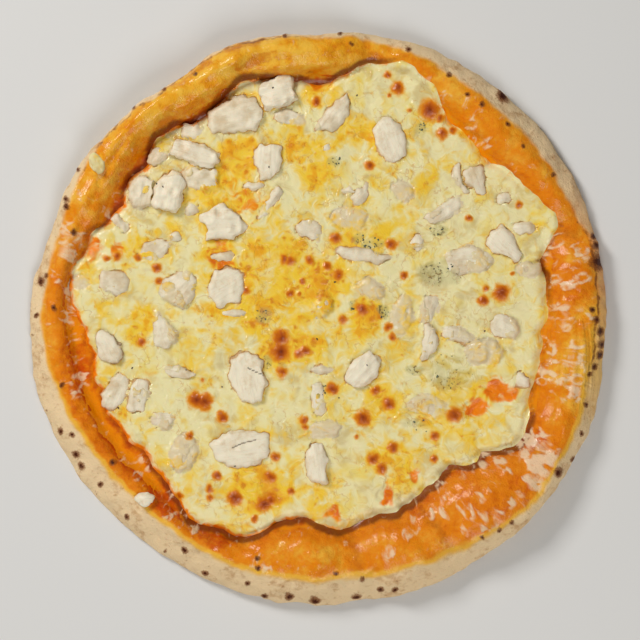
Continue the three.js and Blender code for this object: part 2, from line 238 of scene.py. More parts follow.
def rough_noise(points: np.ndarray, size: float, seed: int, layers: int = 3) -> np.ndarray:
    """Adds finer and weaker layers of soft noise, for an uneven natural look."""
    return sum(soft_noise(points, size / 2**i, seed + i) * 0.55**i for i in range(layers))


def layered(points: np.ndarray, layers: tuple[tuple[float, float, int], ...]) -> np.ndarray:
    """Adds layers of soft noise, each given by its height, its size and its seed."""
    return sum(height * soft_noise(points, size, seed) for height, size, seed in layers)


def ring_of(angles: np.ndarray, radius: float) -> np.ndarray:
    """Gives the points of a level ring at angles in degrees."""
    turn = np.radians(angles)
    return np.column_stack([np.cos(turn), np.sin(turn), np.zeros(len(turn))]) * radius


def angles_of(points: np.ndarray) -> np.ndarray:
    """Gives each point's angle round the pizza in degrees, from 0 to 360."""
    return np.degrees(np.arctan2(points[:, 1], points[:, 0])) % 360


def around(angles: np.ndarray, stations: Stations) -> np.ndarray:
    """Reads a value that changes round the pizza from its (angle, value) stations."""
    places, values = zip(*sorted(stations))
    return np.interp(angles, places, values, period=360)


def on_plan(column: float, row: float) -> tuple[float, float]:
    """Gives the millimetres to the right of and above the pizza's centre for a place in the photograph."""
    return (column - CENTRE_COLUMN) * MM_PER_PIXEL, (CENTRE_ROW - row) * MM_PER_PIXEL


@dataclass(frozen=True)
class Spot:
    """A round mark, placed by the photograph's pixel, with its radius in millimetres."""

    column: float
    row: float
    radius: float

    def distance(self, points: np.ndarray) -> np.ndarray:
        """Gives each point's distance from the mark's middle, in millimetres."""
        x, y = on_plan(self.column, self.row)
        return np.hypot(points[:, 0] - x, points[:, 1] - y)


@dataclass(frozen=True)
class Zone:
    """A soft-edged oval area, given by the photograph's columns and rows that it spans."""

    left: float
    right: float
    top: float
    bottom: float
    strength: float = 1.0

    def share(self, points: np.ndarray) -> np.ndarray:
        """Gives the zone's strength at each point, fading to nothing just outside it."""
        x, y = on_plan((self.left + self.right) / 2, (self.top + self.bottom) / 2)
        half_width = (self.right - self.left) / 2 * MM_PER_PIXEL
        half_height = (self.bottom - self.top) / 2 * MM_PER_PIXEL
        away = np.hypot((points[:, 0] - x) / half_width, (points[:, 1] - y) / half_height)
        return self.strength * (1.0 - eased(away, 0.55, 1.45))


def each(kind: type, *rows: tuple[float, ...]) -> tuple:
    """Makes one mark or area from each row of its values."""
    return tuple(kind(*row) for row in rows)


def warped(points: np.ndarray, size: float, reach: float, seed: int) -> np.ndarray:
    """Shifts points sideways by soft noise, so that round marks drawn on them come out uneven."""
    shift = [reach * soft_noise(points, size, seed + i) for i in range(2)]
    return points + np.column_stack([*shift, np.zeros(len(points))])


def cones(
    points: np.ndarray, spots: tuple[Spot, ...], reach: float = 2.0, full: float = 0.0
) -> np.ndarray:
    """Draws uneven round marks that fall evenly from their middle to nothing.

    Args:
        points: Rows of millimetres.
        spots: The marks.
        reach: Where a mark ends, in radii.
        full: The radius from which a mark reaches 1; smaller marks stay weaker.

    Returns:
        The strongest mark's value at each point.
    """
    uneven = warped(points, 3.4, 0.8, 91)
    marks = [np.zeros(len(points))]
    for spot in spots:
        peak = 0.55 + 0.45 * min(spot.radius / full, 1.0) if full else 1.0
        marks.append(peak * (1.0 - spot.distance(uneven) / (reach * spot.radius)))
    return np.max(marks, axis=0)


def shares(points: np.ndarray, zones: tuple[Zone, ...]) -> np.ndarray:
    """Gives the strongest of the zones at each point."""
    uneven = warped(points, 7.0, 3.5, 95)
    return np.max([z.share(uneven) for z in zones] + [np.zeros(len(points))], axis=0)


def only(piece: bpy.types.Object) -> None:
    """Makes one object the only selected one, and the active one."""
    bpy.ops.object.select_all(action="DESELECT")
    piece.select_set(True)
    bpy.context.view_layer.objects.active = piece


def apply_modifier(piece: bpy.types.Object, kind: str, **settings) -> None:
    """Adds a modifier with its settings and applies it."""
    only(piece)
    bpy.ops.object.modifier_add(type=kind)
    modifier = piece.modifiers[-1]
    for name, value in settings.items():
        setattr(modifier, name, value)
    bpy.ops.object.modifier_apply(modifier=modifier.name)


def merged_copy(node: str, name: str) -> bpy.types.Object:
    """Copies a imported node's mesh into a new object and merges its loose triangles.

    Args:
        node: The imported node's name.
        name: The new object's name.

    Returns:
        The copy, closed, with no material.
    """
    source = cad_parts[node]
    copy = bpy.data.objects.new(name, source.data.copy())
    bpy.context.scene.collection.objects.link(copy)
    copy.data.materials.clear()
    only(copy)
    bpy.ops.object.mode_set(mode="EDIT")
    bpy.ops.mesh.select_all(action="SELECT")
    bpy.ops.mesh.remove_doubles(threshold=0.002 * MM)
    bpy.ops.object.mode_set(mode="OBJECT")
    return copy


def joined(pieces: list[bpy.types.Object], name: str) -> bpy.types.Object:
    """Joins objects into the first of them and names the result."""
    bpy.ops.object.select_all(action="DESELECT")
    for piece in pieces:
        piece.select_set(True)
    bpy.context.view_layer.objects.active = pieces[0]
    bpy.ops.object.join()
    pieces[0].name = name
    return pieces[0]


def smooth(piece: bpy.types.Object) -> None:
    """Shades a piece as one smooth surface."""
    only(piece)
    bpy.ops.object.shade_smooth()


def tree_of(piece: bpy.types.Object) -> BVHTree:
    """Makes the search tree that finds a piece's surface."""
    return BVHTree.FromObject(piece, bpy.context.evaluated_depsgraph_get())


def heights_on(tree: BVHTree, points: np.ndarray, missing: float) -> np.ndarray:
    """Finds how high a surface stands at each point, seen from above.

    Args:
        tree: The surface's search tree.
        points: Rows of millimetres; only x and y are read.
        missing: The height given where there is no surface.

    Returns:
        The height of each point, in millimetres.
    """
    down = Vector((0.0, 0.0, -1.0))
    hits = (tree.ray_cast(Vector((x * MM, y * MM, RAY_START)), down)[0] for x, y in points[:, :2])
    return np.array([missing if hit is None else hit.z / MM for hit in hits])


def higher(first: np.ndarray, second: np.ndarray, fillet: float) -> np.ndarray:
    """Gives the higher of two heights, with a soft hollow of about `fillet` mm where they meet."""
    return second + fillet * np.logaddexp(0.0, (first - second) / fillet)


def round_sheet(
    name: str, cells: int, edge: Callable[[np.ndarray], np.ndarray]
) -> tuple[bpy.types.Object, np.ndarray, np.ndarray]:
    """Adds a square grid and spreads it over a round outline.

    Args:
        name: The new object's name.
        cells: How many cells the grid has each way.
        edge: A function that gives the outline's radius for angles in degrees.

    Returns:
        The object, its vertices in millimetres, and each one's distance from the outline.
    """
    bpy.ops.object.select_all(action="DESELECT")
    bpy.ops.mesh.primitive_grid_add(x_subdivisions=cells, y_subdivisions=cells, size=2.0)
    sheet = bpy.context.object
    sheet.name = name
    square = points_of(sheet.data) * MM
    a, b = square[:, 0], square[:, 1]
    share = np.maximum(np.abs(a), np.abs(b))
    # Each ring of the square becomes a ring of the disc, its corners at the diagonals.
    wide = np.abs(a) >= np.abs(b)
    slope = np.where(wide, b / np.where(a == 0, 1, a), a / np.where(b == 0, 1, b)) * math.pi / 4
    side = np.where(a >= 0, slope, slope + math.pi)
    end = np.where(b >= 0, math.pi / 2 - slope, -math.pi / 2 - slope)
    angle = np.where(wide, side, end)
    outline = edge(np.degrees(angle) % 360)
    radius = share * outline
    points = np.column_stack([radius * np.cos(angle), radius * np.sin(angle), np.zeros(len(angle))])
    return sheet, points, outline - radius


def close_sheet(sheet: bpy.types.Object, ground: BVHTree, bottom: float, sink: float = 1.0) -> None:
    """Gives an open sheet its edge and a flat underside.

    Args:
        sheet: The sheet.
        ground: The search tree of what its edge lies on.
        bottom: The underside's height in millimetres.
        sink: How far the edge goes under the ground's surface.
    """
    count = len(sheet.data.vertices)
    only(sheet)
    bpy.ops.object.mode_set(mode="EDIT")
    bpy.ops.mesh.select_all(action="DESELECT")
    bpy.ops.mesh.select_non_manifold()
    bpy.ops.mesh.extrude_region_move(TRANSFORM_OT_translate={"value": (0.0, 0.0, -MM)})
    bpy.ops.mesh.extrude_region_move(TRANSFORM_OT_translate={"value": (0.0, 0.0, -MM)})
    bpy.ops.mesh.edge_face_add()
    bpy.ops.mesh.select_all(action="SELECT")
    bpy.ops.mesh.normals_make_consistent(inside=False)
    bpy.ops.object.mode_set(mode="OBJECT")
    points = points_of(sheet.data)
    wall = np.arange(count, len(points))
    under = np.maximum(bottom, heights_on(ground, points[wall], FLOOR_TOP) - sink)
    lower_ring = wall[len(wall) // 2 :]
    points[wall, 2] = np.minimum(under, points[wall, 2])
    # The wall's lower ring lies half a percent further in.
    points[lower_ring, :2] *= 0.995
    points[lower_ring, 2] = bottom
    place_points(sheet.data, points)


def finish_piece(piece: bpy.types.Object, material: bpy.types.Material, slot: str, *nodes: str) -> None:
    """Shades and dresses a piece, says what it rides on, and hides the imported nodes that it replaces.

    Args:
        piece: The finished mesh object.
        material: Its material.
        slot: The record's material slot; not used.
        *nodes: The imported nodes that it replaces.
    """
    smooth(piece)
    piece.data.materials.append(material)
    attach(piece, "root")
    if nodes:
        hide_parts(*nodes)


# ---- Finishes --------------------------------------------------------------------------------------------


def start_material(
    name: str, marks: tuple[str, ...]
) -> tuple[bpy.types.Material, bpy.types.NodeSocket, dict[str, bpy.types.NodeSocket]]:
    """Starts a node material that reads object coordinates and the marks stored on the mesh.

    Args:
        name: The material's name.
        marks: The names of the stored values.

    Returns:
        The material, the socket of its coordinates, and the socket of each mark.
    """
    material = bpy.data.materials.new(name)
    material.use_nodes = True
    tree = material.node_tree
    tree.nodes.clear()
    place = add_node(tree, "TexCoord").outputs["Object"]
    sockets = {m: add_node(tree, "Attribute", attribute_name=m).outputs["Fac"] for m in marks}
    return material, place, sockets


def film_share(
    tree: bpy.types.NodeTree, place: bpy.types.NodeSocket, mark: bpy.types.NodeSocket
) -> bpy.types.NodeSocket:
    """Turns a film mark into broken loops and soft smears, as cheese fat dries on a sauced crust.

    Args:
        tree: The node tree.
        place: The socket of its coordinates.
        mark: The socket that says how much film lies there.

    Returns:
        The socket of the film's share.
    """
    smear = add_node(
        tree, "TexNoise", {"Vector": place, "Scale": repeats(4.5), "Detail": 4.0, "Distortion": 0.5}
    )
    shifted = add_node(
        tree,
        "VectorMath",
        {0: smear.outputs[1], 1: (4.0 * MM, 4.0 * MM, 4.0 * MM), 2: place},
        operation="MULTIPLY_ADD",
    ).outputs[0]
    cell = add_node(tree, "TexVoronoi", {"Vector": shifted, "Scale": repeats(6.5)}).outputs["Distance"]
    # A loop lies where a point is about a third of a cell from the cell's middle.
    off = add_node(tree, "Math", {0: cell, 1: 0.34}, operation="SUBTRACT").outputs[0]
    off = add_node(tree, "Math", {0: off}, operation="ABSOLUTE").outputs[0]
    loop = add_node(tree, "MapRange", {0: off, 1: 0.04, 2: 0.22, 3: 0.5, 4: 0.0}).outputs[0]
    share = add_node(tree, "Math", {0: mark, 1: loop}, operation="ADD").outputs[0]
    share = unsettled(tree, share, smear.outputs[0], 2.4)
    limits = {0: share, 1: 0.5, 2: 1.35}
    return add_node(tree, "MapRange", limits, interpolation_type="SMOOTHSTEP").outputs[0]


def drawn_outwards(points: np.ndarray) -> np.ndarray:
    """Gives pattern coordinates that follow the rim, so that marks on it come out longer outwards.

    Args:
        points: Rows of millimetres.

    Returns:
        A row of metres for each point: outwards, along the rim, and upwards.
    """
    radius = np.hypot(points[:, 0], points[:, 1])
    along = np.radians((angles_of(points) - FILM_SEAM) % 360.0) * FILM_RING
    return np.column_stack([radius / FILM_STRETCH, along, points[:, 2] / FILM_STRETCH]) * MM


@dataclass(frozen=True)
class BakedCrust:
    """Pizza dough baked in a stone oven: its top browned and brushed with hot sauce, its side floured.

    Its noise gives the blotchy browning of a blistered skin, its clear coat the shine of the oily sauce.
    """

    straw: str = "#fac040"
    gold: str = "#f4aa18"
    tan: str = "#cc7308"
    orange: str = "#ee8200"
    deep_orange: str = "#d25a00"
    flour: str = "#f2d4a6"
    toasted_flour: str = "#bf8c58"
    freckle: str = "#84471c"
    film: str = "#fadcb4"
    burnt: str = "#4a1c0a"
    red: str = "#cc4400"
    shadow: str = "#74300a"

    def material(self) -> bpy.types.Material:
        """Builds the node material.

        Returns:
            The finished material.
        """
        material, place, mark = start_material(
            "baked_crust", ("flour", "border", "glaze", "red", "film", "char", "painted_shade", "toasted", "fold")
        )
        tree = material.node_tree
        rough = {"Vector": place, "Roughness": 0.6}
        blotch, mottle, grain = (
            add_node(
                tree, "TexNoise", rough | {"Scale": repeats(size), "Detail": detail, "Distortion": twist}
            ).outputs[0]
            for size, detail, twist in ((12, 4.0, 0.4), (3.4, 6.0, 0.3), (1.0, 3.0, 0.0))
        )

        # Straw to golden to tan browning in soft blotches; the tan is also laid darker along the troughs of
        # the long folds.
        base = lay(tree, self.straw, self.gold, blotch, 0.35, 0.6)
        folded = {0: mark["fold"], 1: 0.35, 2: blotch}
        browned = add_node(tree, "Math", folded, operation="MULTIPLY_ADD").outputs[0]
        base = lay(tree, base, self.tan, unsettled(tree, browned, mottle, 0.5), 0.5, 0.8, 0.75)

        # The orange of the sauce brushed over it, deepest near the cheese.
        glaze = unsettled(tree, unsettled(tree, mark["glaze"], mottle, 0.7), blotch, 0.9)
        base = lay(tree, base, self.orange, glaze, 0.15, 0.8, 0.92)
        base = lay(tree, base, self.deep_orange, glaze, 0.72, 1.15, 0.9)

        # Red sauce gathers at the foot of the rim and in its creases.
        gathered = unsettled(tree, mark["red"], mottle, 1.0)
        base = lay(tree, base, self.red, gathered, 0.3, 1.0, 0.85)
        # Painted shade in the creases between the lobes and in the gap under the cheese's outer edge.
        base = lay(tree, base, self.shadow, unsettled(tree, mark["painted_shade"], mottle, 0.4), 0.1, 0.8, 0.85)

        # A thin whitish film of dried fat.
        drawn = add_node(tree, "Attribute", attribute_name="drawn").outputs["Vector"]
        clouded = film_share(tree, drawn, mark["film"])
        base = lay(tree, base, self.film, clouded, 0.0, 1.0, 0.8)

        # The floured side: a golden border, then cream with toasted blotches and small brown freckles.
        base = lay(tree, base, self.straw, unsettled(tree, mark["border"], mottle, 0.6), 0.25, 0.85, 0.85)
        toasting = unsettled(tree, mottle, blotch, 1.2)
        side = lay(tree, self.flour, self.toasted_flour, toasting, 0.46, 0.85, 0.65)
        side = lay(tree, side, self.freckle, unsettled(tree, grain, mottle, 0.9), 0.7, 0.85, 0.6)
        base = lay(tree, base, side, mark["flour"])
        base = lay(tree, base, self.freckle, unsettled(tree, mark["toasted"], mottle, 1.6), 0.4, 1.0, 0.85)

        # Burnt blisters, ragged at their edge.
        scorch = unsettled(tree, mark["char"], grain, 0.6)
        base = lay(tree, base, self.freckle, scorch, 0.2, 0.55, 0.8)
        base = lay(tree, base, self.burnt, scorch, 0.5, 0.85)

        # The floured side is dry; the sauced top shines.
        roughness = add_node(tree, "Mix", {0: mark["flour"], 2: 0.36, 3: 0.8}, data_type="FLOAT").outputs[0]
        gloss = add_node(tree, "Mix", {0: mark["flour"], 2: 0.3, 3: 0.0}, data_type="FLOAT").outputs[0]
        height = add_node(tree, "Math", {0: grain, 1: 0.7, 2: mottle}, operation="MULTIPLY_ADD").outputs[0]
        filmed = {0: clouded, 1: 0.35, 2: height}
        height = add_node(tree, "Math", filmed, operation="MULTIPLY_ADD").outputs[0]
        bump = add_node(tree, "Bump", {"Strength": 0.8, "Distance": 1.0 * MM, "Height": height}).outputs[0]
        # The oil lies smoother than the skin under it, so its highlights break into small bright flecks.
        wet = add_node(tree, "Bump", {"Strength": 0.8, "Distance": 0.2 * MM, "Height": height}).outputs[0]
        shader = add_node(
            tree,
            "BsdfPrincipled",
            {
                "Base Color": base,
                "Roughness": roughness,
                "Normal": bump,
                "IOR": 1.42,
                "Specular IOR Level": 0.12,
                "Subsurface Weight": 0.06,
                "Subsurface Radius": (1.0, 0.5, 0.25),
                "Subsurface Scale": 1.5 * MM,
                "Coat Weight": gloss,
                "Coat Roughness": 0.1,
                "Coat Normal": wet,
            },
        )
        add_node(tree, "OutputMaterial", {"Surface": shader.outputs[0]})
        return material


@dataclass(frozen=True)
class MeltedCheese:
    """Mozzarella and blue cheese melted in a hot oven: cream curds, golden seams and toasted blisters.

    Scattering under the skin keeps it milky, and a thin coat of fat gives it small soft highlights.
    """

    cream: str = "#f0e4ac"
    butter: str = "#efd87a"
    shaded_cream: str = "#ccb478"
    gold: str = "#f8cc30"
    amber: str = "#ee9e12"
    fleck: str = "#d4720e"
    thread: str = "#c8862c"
    sauce: str = "#f88600"
    deep_sauce: str = "#e06600"
    mould: str = "#a8a470"
    dark_mould: str = "#4e4c34"
    outline: str = "#7c4210"
    over_chicken: str = "#e0cdaa"
    toast_stops: tuple = (
        (0.0, "#f2b62c"), (0.3, "#e89616"), (0.5, "#d2700c"), (0.7, "#b45208"), (0.9, "#963c06"),
        (1.0, "#7e2e04"),
    )

    def material(self) -> bpy.types.Material:
        """Builds the node material.

        Returns:
            The finished material.
        """
        material, place, mark = start_material(
            "melted_cheese", ("golden", "toast", "sauced", "mould", "juice_and_shade", "veil")
        )
        tree = material.node_tree
        rough = {"Vector": place, "Roughness": 0.6}
        pool, mottle, grain = (
            add_node(
                tree, "TexNoise", rough | {"Scale": repeats(size), "Detail": detail, "Distortion": twist}
            )
            for size, detail, twist in ((15, 2.0, 0.6), (6.5, 2.0, 0.8), (1.5, 1.5, 0.0))
        )
        shifted = add_node(
            tree,
            "VectorMath",
            {0: mottle.outputs[1], 1: (5.0 * MM, 5.0 * MM, 5.0 * MM), 2: place},
            operation="MULTIPLY_ADD",
        ).outputs[0]
        curd = add_node(
            tree,
            "TexVoronoi",
            {"Vector": shifted, "Scale": repeats(10.0), "Smoothness": 0.5},
            feature="SMOOTH_F1",
        ).outputs["Distance"]
        dot = add_node(tree, "TexVoronoi", {"Vector": shifted, "Scale": repeats(5.0)}).outputs["Distance"]
        flows = {"Vector": shifted, "Scale": repeats(9.0), "Detail": 2.0, "Roughness": 0.55}
        seam = add_node(tree, "TexNoise", flows).outputs[0]
        # The colour output's green and blue are further patterns of the same size.
        second, third = add_node(tree, "SeparateColor", {0: pool.outputs[1]}).outputs[1:3]
        pool, mottle, grain = pool.outputs[0], mottle.outputs[0], grain.outputs[0]

        # Cream and butter yellow in soft pools, duller where the cheese veils a slice of chicken.
        base = lay(tree, self.cream, self.butter, unsettled(tree, pool, mottle, 0.6), 0.36, 0.72)
        thin = unsettled(tree, second, mottle, 0.4)
        base = lay(tree, base, self.shaded_cream, thin, 0.48, 0.72, 0.65)
        veiled = unsettled(tree, mark["veil"], mottle, 0.8)
        base = lay(tree, base, self.over_chicken, veiled, 0.2, 0.9, 0.85)

        # Golden seams between the curds where fat has come out, amber in their middles.
        golden = unsettled(tree, unsettled(tree, mark["golden"], pool, 1.9), mottle, 1.7)
        golden = unsettled(tree, golden, curd, 0.5)
        base = lay(tree, base, self.gold, golden, 0.0, 0.9, 0.95)
        oily = unsettled(tree, unsettled(tree, golden, third, 2.0), mottle, 0.8)
        base = lay(tree, base, self.amber, oily, 0.7, 1.5, 0.75)

        # Thin brown seams, where two flows of cheese met or drew back from a slice.
        off = add_node(tree, "Math", {0: seam, 1: 0.5}, operation="SUBTRACT").outputs[0]
        off = add_node(tree, "Math", {0: off}, operation="ABSOLUTE").outputs[0]
        thread = add_node(tree, "MapRange", {0: off, 1: 0.0, 2: 0.022, 3: 1.0, 4: 0.0}).outputs[0]
        limits = {0: third, 1: 0.45, 2: 0.6}
        shown = add_node(tree, "MapRange", limits, interpolation_type="SMOOTHSTEP").outputs[0]
        thread = add_node(tree, "Math", {0: thread, 1: shown}, operation="MULTIPLY").outputs[0]
        base = lay(tree, base, self.thread, thread, 0.1, 1.0, 0.42)

        # Small toasted dots in the golden parts.
        near = add_node(tree, "Math", {0: dot, 1: -3.0, 2: golden}, operation="MULTIPLY_ADD").outputs[0]
        near = unsettled(tree, near, grain, 1.2)
        base = lay(tree, base, self.fleck, near, -0.3, 0.8, 0.7)

        # Blue cheese: dull grey-green drifts with small dark veins.
        blue = unsettled(tree, mark["mould"], mottle, 1.6)
        base = lay(tree, base, self.mould, blue, 0.4, 1.3, 0.55)
        base = lay(tree, base, self.dark_mould, unsettled(tree, blue, grain, 3.0), 1.2, 1.6, 0.8)

        # Hot sauce that shows through.
        bare = unsettled(tree, mark["sauced"], mottle, 1.5)
        red = lay(tree, self.sauce, self.deep_sauce, pool, 0.45, 0.65)
        base = lay(tree, base, red, bare, 0.3, 0.85)

        # A thin brown line round each slice of chicken: juice, and painted contact shade that is darkest on
        # the slice's north side.
        juice_and_shade = unsettled(tree, mark["juice_and_shade"], mottle, 1.4)
        base = lay(tree, base, self.amber, juice_and_shade, 0.25, 0.7, 0.5)
        base = lay(tree, base, self.outline, juice_and_shade, 0.55, 0.95, 0.85)

        # Toasted blisters with golden halos.
        toast = unsettled(tree, unsettled(tree, mark["toast"], mottle, 0.5), grain, 0.2)
        brown = add_node(tree, "ValToRGB", {0: toast}, stops=self.toast_stops).outputs[0]
        base = lay(tree, base, brown, toast, 0.0, 0.4)

        roughness = add_node(tree, "MapRange", {0: mottle, 1: 0.3, 2: 0.7, 3: 0.24, 4: 0.45}).outputs[0]
        height = add_node(tree, "Math", {0: grain, 1: 0.12, 2: mottle}, operation="MULTIPLY_ADD").outputs[0]
        height = add_node(tree, "Math", {0: curd, 1: -0.5, 2: height}, operation="MULTIPLY_ADD").outputs[0]
        threaded = {0: thread, 1: -0.15, 2: height}
        height = add_node(tree, "Math", threaded, operation="MULTIPLY_ADD").outputs[0]
        bump = add_node(tree, "Bump", {"Strength": 0.8, "Distance": 1.0 * MM, "Height": height}).outputs[0]
        # The film of fat on it is finely rippled, which breaks its highlights into small flecks.
        ripple = add_node(tree, "Math", {0: grain, 1: 0.6, 2: height}, operation="MULTIPLY_ADD").outputs[0]
        wet = add_node(tree, "Bump", {"Strength": 0.8, "Distance": 1.0 * MM, "Height": ripple}).outputs[0]
        shader = add_node(
            tree,
            "BsdfPrincipled",
            {
                "Base Color": base,
                "Roughness": roughness,
                "Normal": bump,
                "IOR": 1.42,
                "Subsurface Weight": 0.15,
                "Subsurface Radius": (1.0, 0.7, 0.35),
                "Subsurface Scale": 1.5 * MM,
                "Specular IOR Level": 0.2,
                "Coat Weight": 0.5,
                "Coat Roughness": 0.09,
                "Coat Normal": wet,
            },
        )
        add_node(tree, "OutputMaterial", {"Surface": shader.outputs[0]})
        return material


@dataclass(frozen=True)
class RoastChicken:
    """Cooked chicken breast, sliced: an off-white moist meat whose fibres show as faint streaks.

    The streaks follow each slice's own length, and juice and sauce tint its lower edge.
    """

    meat: str = "#f4e8cc"
    shaded_meat: str = "#d2bd96"
    streak: str = "#bfa378"
    blush: str = "#e2c49a"
    soaked: str = "#c48e4a"
    browned: str = "#94602e"
    crack: str = "#5c4428"

    def material(self) -> bpy.types.Material:
        """Builds the node material.

        Returns:
            The finished material.
        """
        material, place, mark = start_material("roast_chicken", ("dull", "soaked", "browned", "crack"))
        tree = material.node_tree
        along = add_node(tree, "Attribute", attribute_name="fibre").outputs["Vector"]
        fibres = add_node(
            tree, "TexNoise", {"Vector": along, "Scale": 1.0, "Detail": 4.0, "Roughness": 0.6}
        ).outputs[0]
        rough = {"Vector": place, "Roughness": 0.6}
        cloud, grain = (
            add_node(tree, "TexNoise", rough | {"Scale": repeats(size), "Detail": 4.0}).outputs[0]
            for size in (8, 1.4)
        )
        base = lay(tree, self.meat, self.shaded_meat, unsettled(tree, mark["dull"], cloud, 2.0))
        base = lay(tree, base, self.blush, unsettled(tree, cloud, grain, 0.6), 0.5, 0.8, 0.5)
        base = lay(tree, base, self.streak, fibres, 0.5, 0.78, 0.35)
        for name, colour in (("soaked", self.soaked), ("browned", self.browned)):
            base = lay(tree, base, colour, unsettled(tree, mark[name], grain, 0.9), 0.3, 0.95, 0.8)
        # Painted shade in the fine cracks.
        base = lay(tree, base, self.crack, mark["crack"], 0.2, 1.0, 0.9)
        height = add_node(tree, "Math", {0: grain, 1: 0.6, 2: fibres}, operation="MULTIPLY_ADD").outputs[0]
        height = add_node(tree, "Math", {0: cloud, 1: 0.8, 2: height}, operation="MULTIPLY_ADD").outputs[0]
        bump = add_node(tree, "Bump", {"Strength": 0.6, "Distance": 0.6 * MM, "Height": height}).outputs[0]
        shader = add_node(
            tree,
            "BsdfPrincipled",
            {
                "Base Color": base,
                "Roughness": 0.4,
                "Normal": bump,
                "IOR": 1.4,
                "Subsurface Weight": 0.12,
                "Subsurface Radius": (1.0, 0.6, 0.4),
                "Subsurface Scale": 1.5 * MM,
            },
        )
        add_node(tree, "OutputMaterial", {"Surface": shader.outputs[0]})
        return material


@dataclass(frozen=True)
class HotSauce:
    """Buffalo sauce, a thin orange-red emulsion of chilli and butter: wet, smooth and uneven in depth."""

    browned: str = "#e09a1c"
    thin: str = "#ee8a00"
    thick: str = "#cc4400"
    film: str = "#fadcb4"
    shadow: str = "#74300a"

    def material(self) -> bpy.types.Material:
        """Builds the node material.

        Returns:
            The finished material.
        """
        material, place, mark = start_material("hot_sauce", ("glaze", "red", "film", "painted_shade"))
        tree = material.node_tree
        rough = {"Vector": place, "Roughness": 0.6}
        depth, mottle = (
            add_node(tree, "TexNoise", rough | {"Scale": repeats(size), "Detail": detail}).outputs[0]
            for size, detail in ((6, 3.0), (2.2, 4.0))
        )
        glaze = unsettled(tree, unsettled(tree, mark["glaze"], depth, 1.6), mottle, 0.8)
        base = lay(tree, self.browned, self.thin, glaze, 0.1, 0.8)
        base = lay(tree, base, self.thick, unsettled(tree, mark["red"], depth, 1.4), 0.3, 1.0, 0.9)
        # Painted shade in the gap under the cheese's outer edge.
        base = lay(tree, base, self.shadow, unsettled(tree, mark["painted_shade"], depth, 0.4), 0.1, 0.8, 0.85)
        drawn = add_node(tree, "Attribute", attribute_name="drawn").outputs["Vector"]
        base = lay(tree, base, self.film, film_share(tree, drawn, mark["film"]), 0.0, 1.0, 0.72)
        height = add_node(tree, "Math", {0: mottle, 1: 0.6, 2: depth}, operation="MULTIPLY_ADD").outputs[0]
        bump = add_node(tree, "Bump", {"Strength": 0.7, "Distance": 0.8 * MM, "Height": height}).outputs[0]
        wet = add_node(tree, "Bump", {"Strength": 0.7, "Distance": 0.2 * MM, "Height": height}).outputs[0]
        shader = add_node(
            tree,
            "BsdfPrincipled",
            {
                "Base Color": base,
                "Roughness": 0.3,
                "Normal": bump,
                "IOR": 1.4,
                "Specular IOR Level": 0.15,
                "Subsurface Weight": 0.1,
                "Subsurface Radius": (1.0, 0.3, 0.1),
                "Subsurface Scale": 1.5 * MM,
                "Coat Weight": 0.32,
                "Coat Roughness": 0.12,
                "Coat Normal": wet,
            },
        )
        add_node(tree, "OutputMaterial", {"Surface": shader.outputs[0]})
        return material


@dataclass(frozen=True)
class DryFlake:
    """A small dry flake, such as ground black pepper or a crumb of blue mould: dull, and uneven in tone."""

    name: str
    dark: str
    light: str

    def material(self) -> bpy.types.Material:
        """Builds the node material.

        Returns:
            The finished material.
        """
        material, place, _ = start_material(self.name, ())
        tree = material.node_tree
        mottled = {"Vector": place, "Scale": repeats(1.5), "Detail": 2.0}
        tone = add_node(tree, "TexNoise", mottled).outputs[0]
        base = lay(tree, self.dark, self.light, tone, 0.35, 0.65)
        shader = add_node(tree, "BsdfPrincipled", {"Base Color": base, "Roughness": 0.6})
        add_node(tree, "OutputMaterial", {"Surface": shader.outputs[0]})
        return material


# ---- The crust -------------------------------------------------------------------------------------------


def cheese_edge(angles: np.ndarray, step: float = 3.0) -> np.ndarray:
    """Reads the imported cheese's outer radius.

    Args:
        angles: Degrees round the pizza.
        step: Degrees between two readings.

    Returns:
        The radius in millimetres at each angle.
    """
    points = points_of(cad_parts["cheese"].data)
    radius = np.hypot(points[:, 0], points[:, 1])
    bins = np.round(angles_of(points) / step).astype(int) % round(360 / step)
    stations = np.arange(0.0, 360.0, step)
    reach = np.array([radius[bins == i].max() for i in range(len(stations))])
    # The melted cheese runs on round a slice that lies across the solid's edge.
    sides = [np.maximum(np.roll(reach, way), np.roll(reach, 2 * way)) for way in (-1, 1)]
    bridged = np.minimum(*sides)
    reach = np.where(bridged - reach > NOTCH_DEPTH, bridged, reach)
    return np.interp(angles, stations, reach, period=360)


def sheet_edge(angles: np.ndarray) -> np.ndarray:
    """Gives the ragged outer radius of the melted cheese at each angle in degrees."""
    ragged = layered(ring_of(angles, EDGE_RING), EDGE_RAGS)
    return cheese_edge(angles) + ragged + around(angles, CHEESE_REACH)


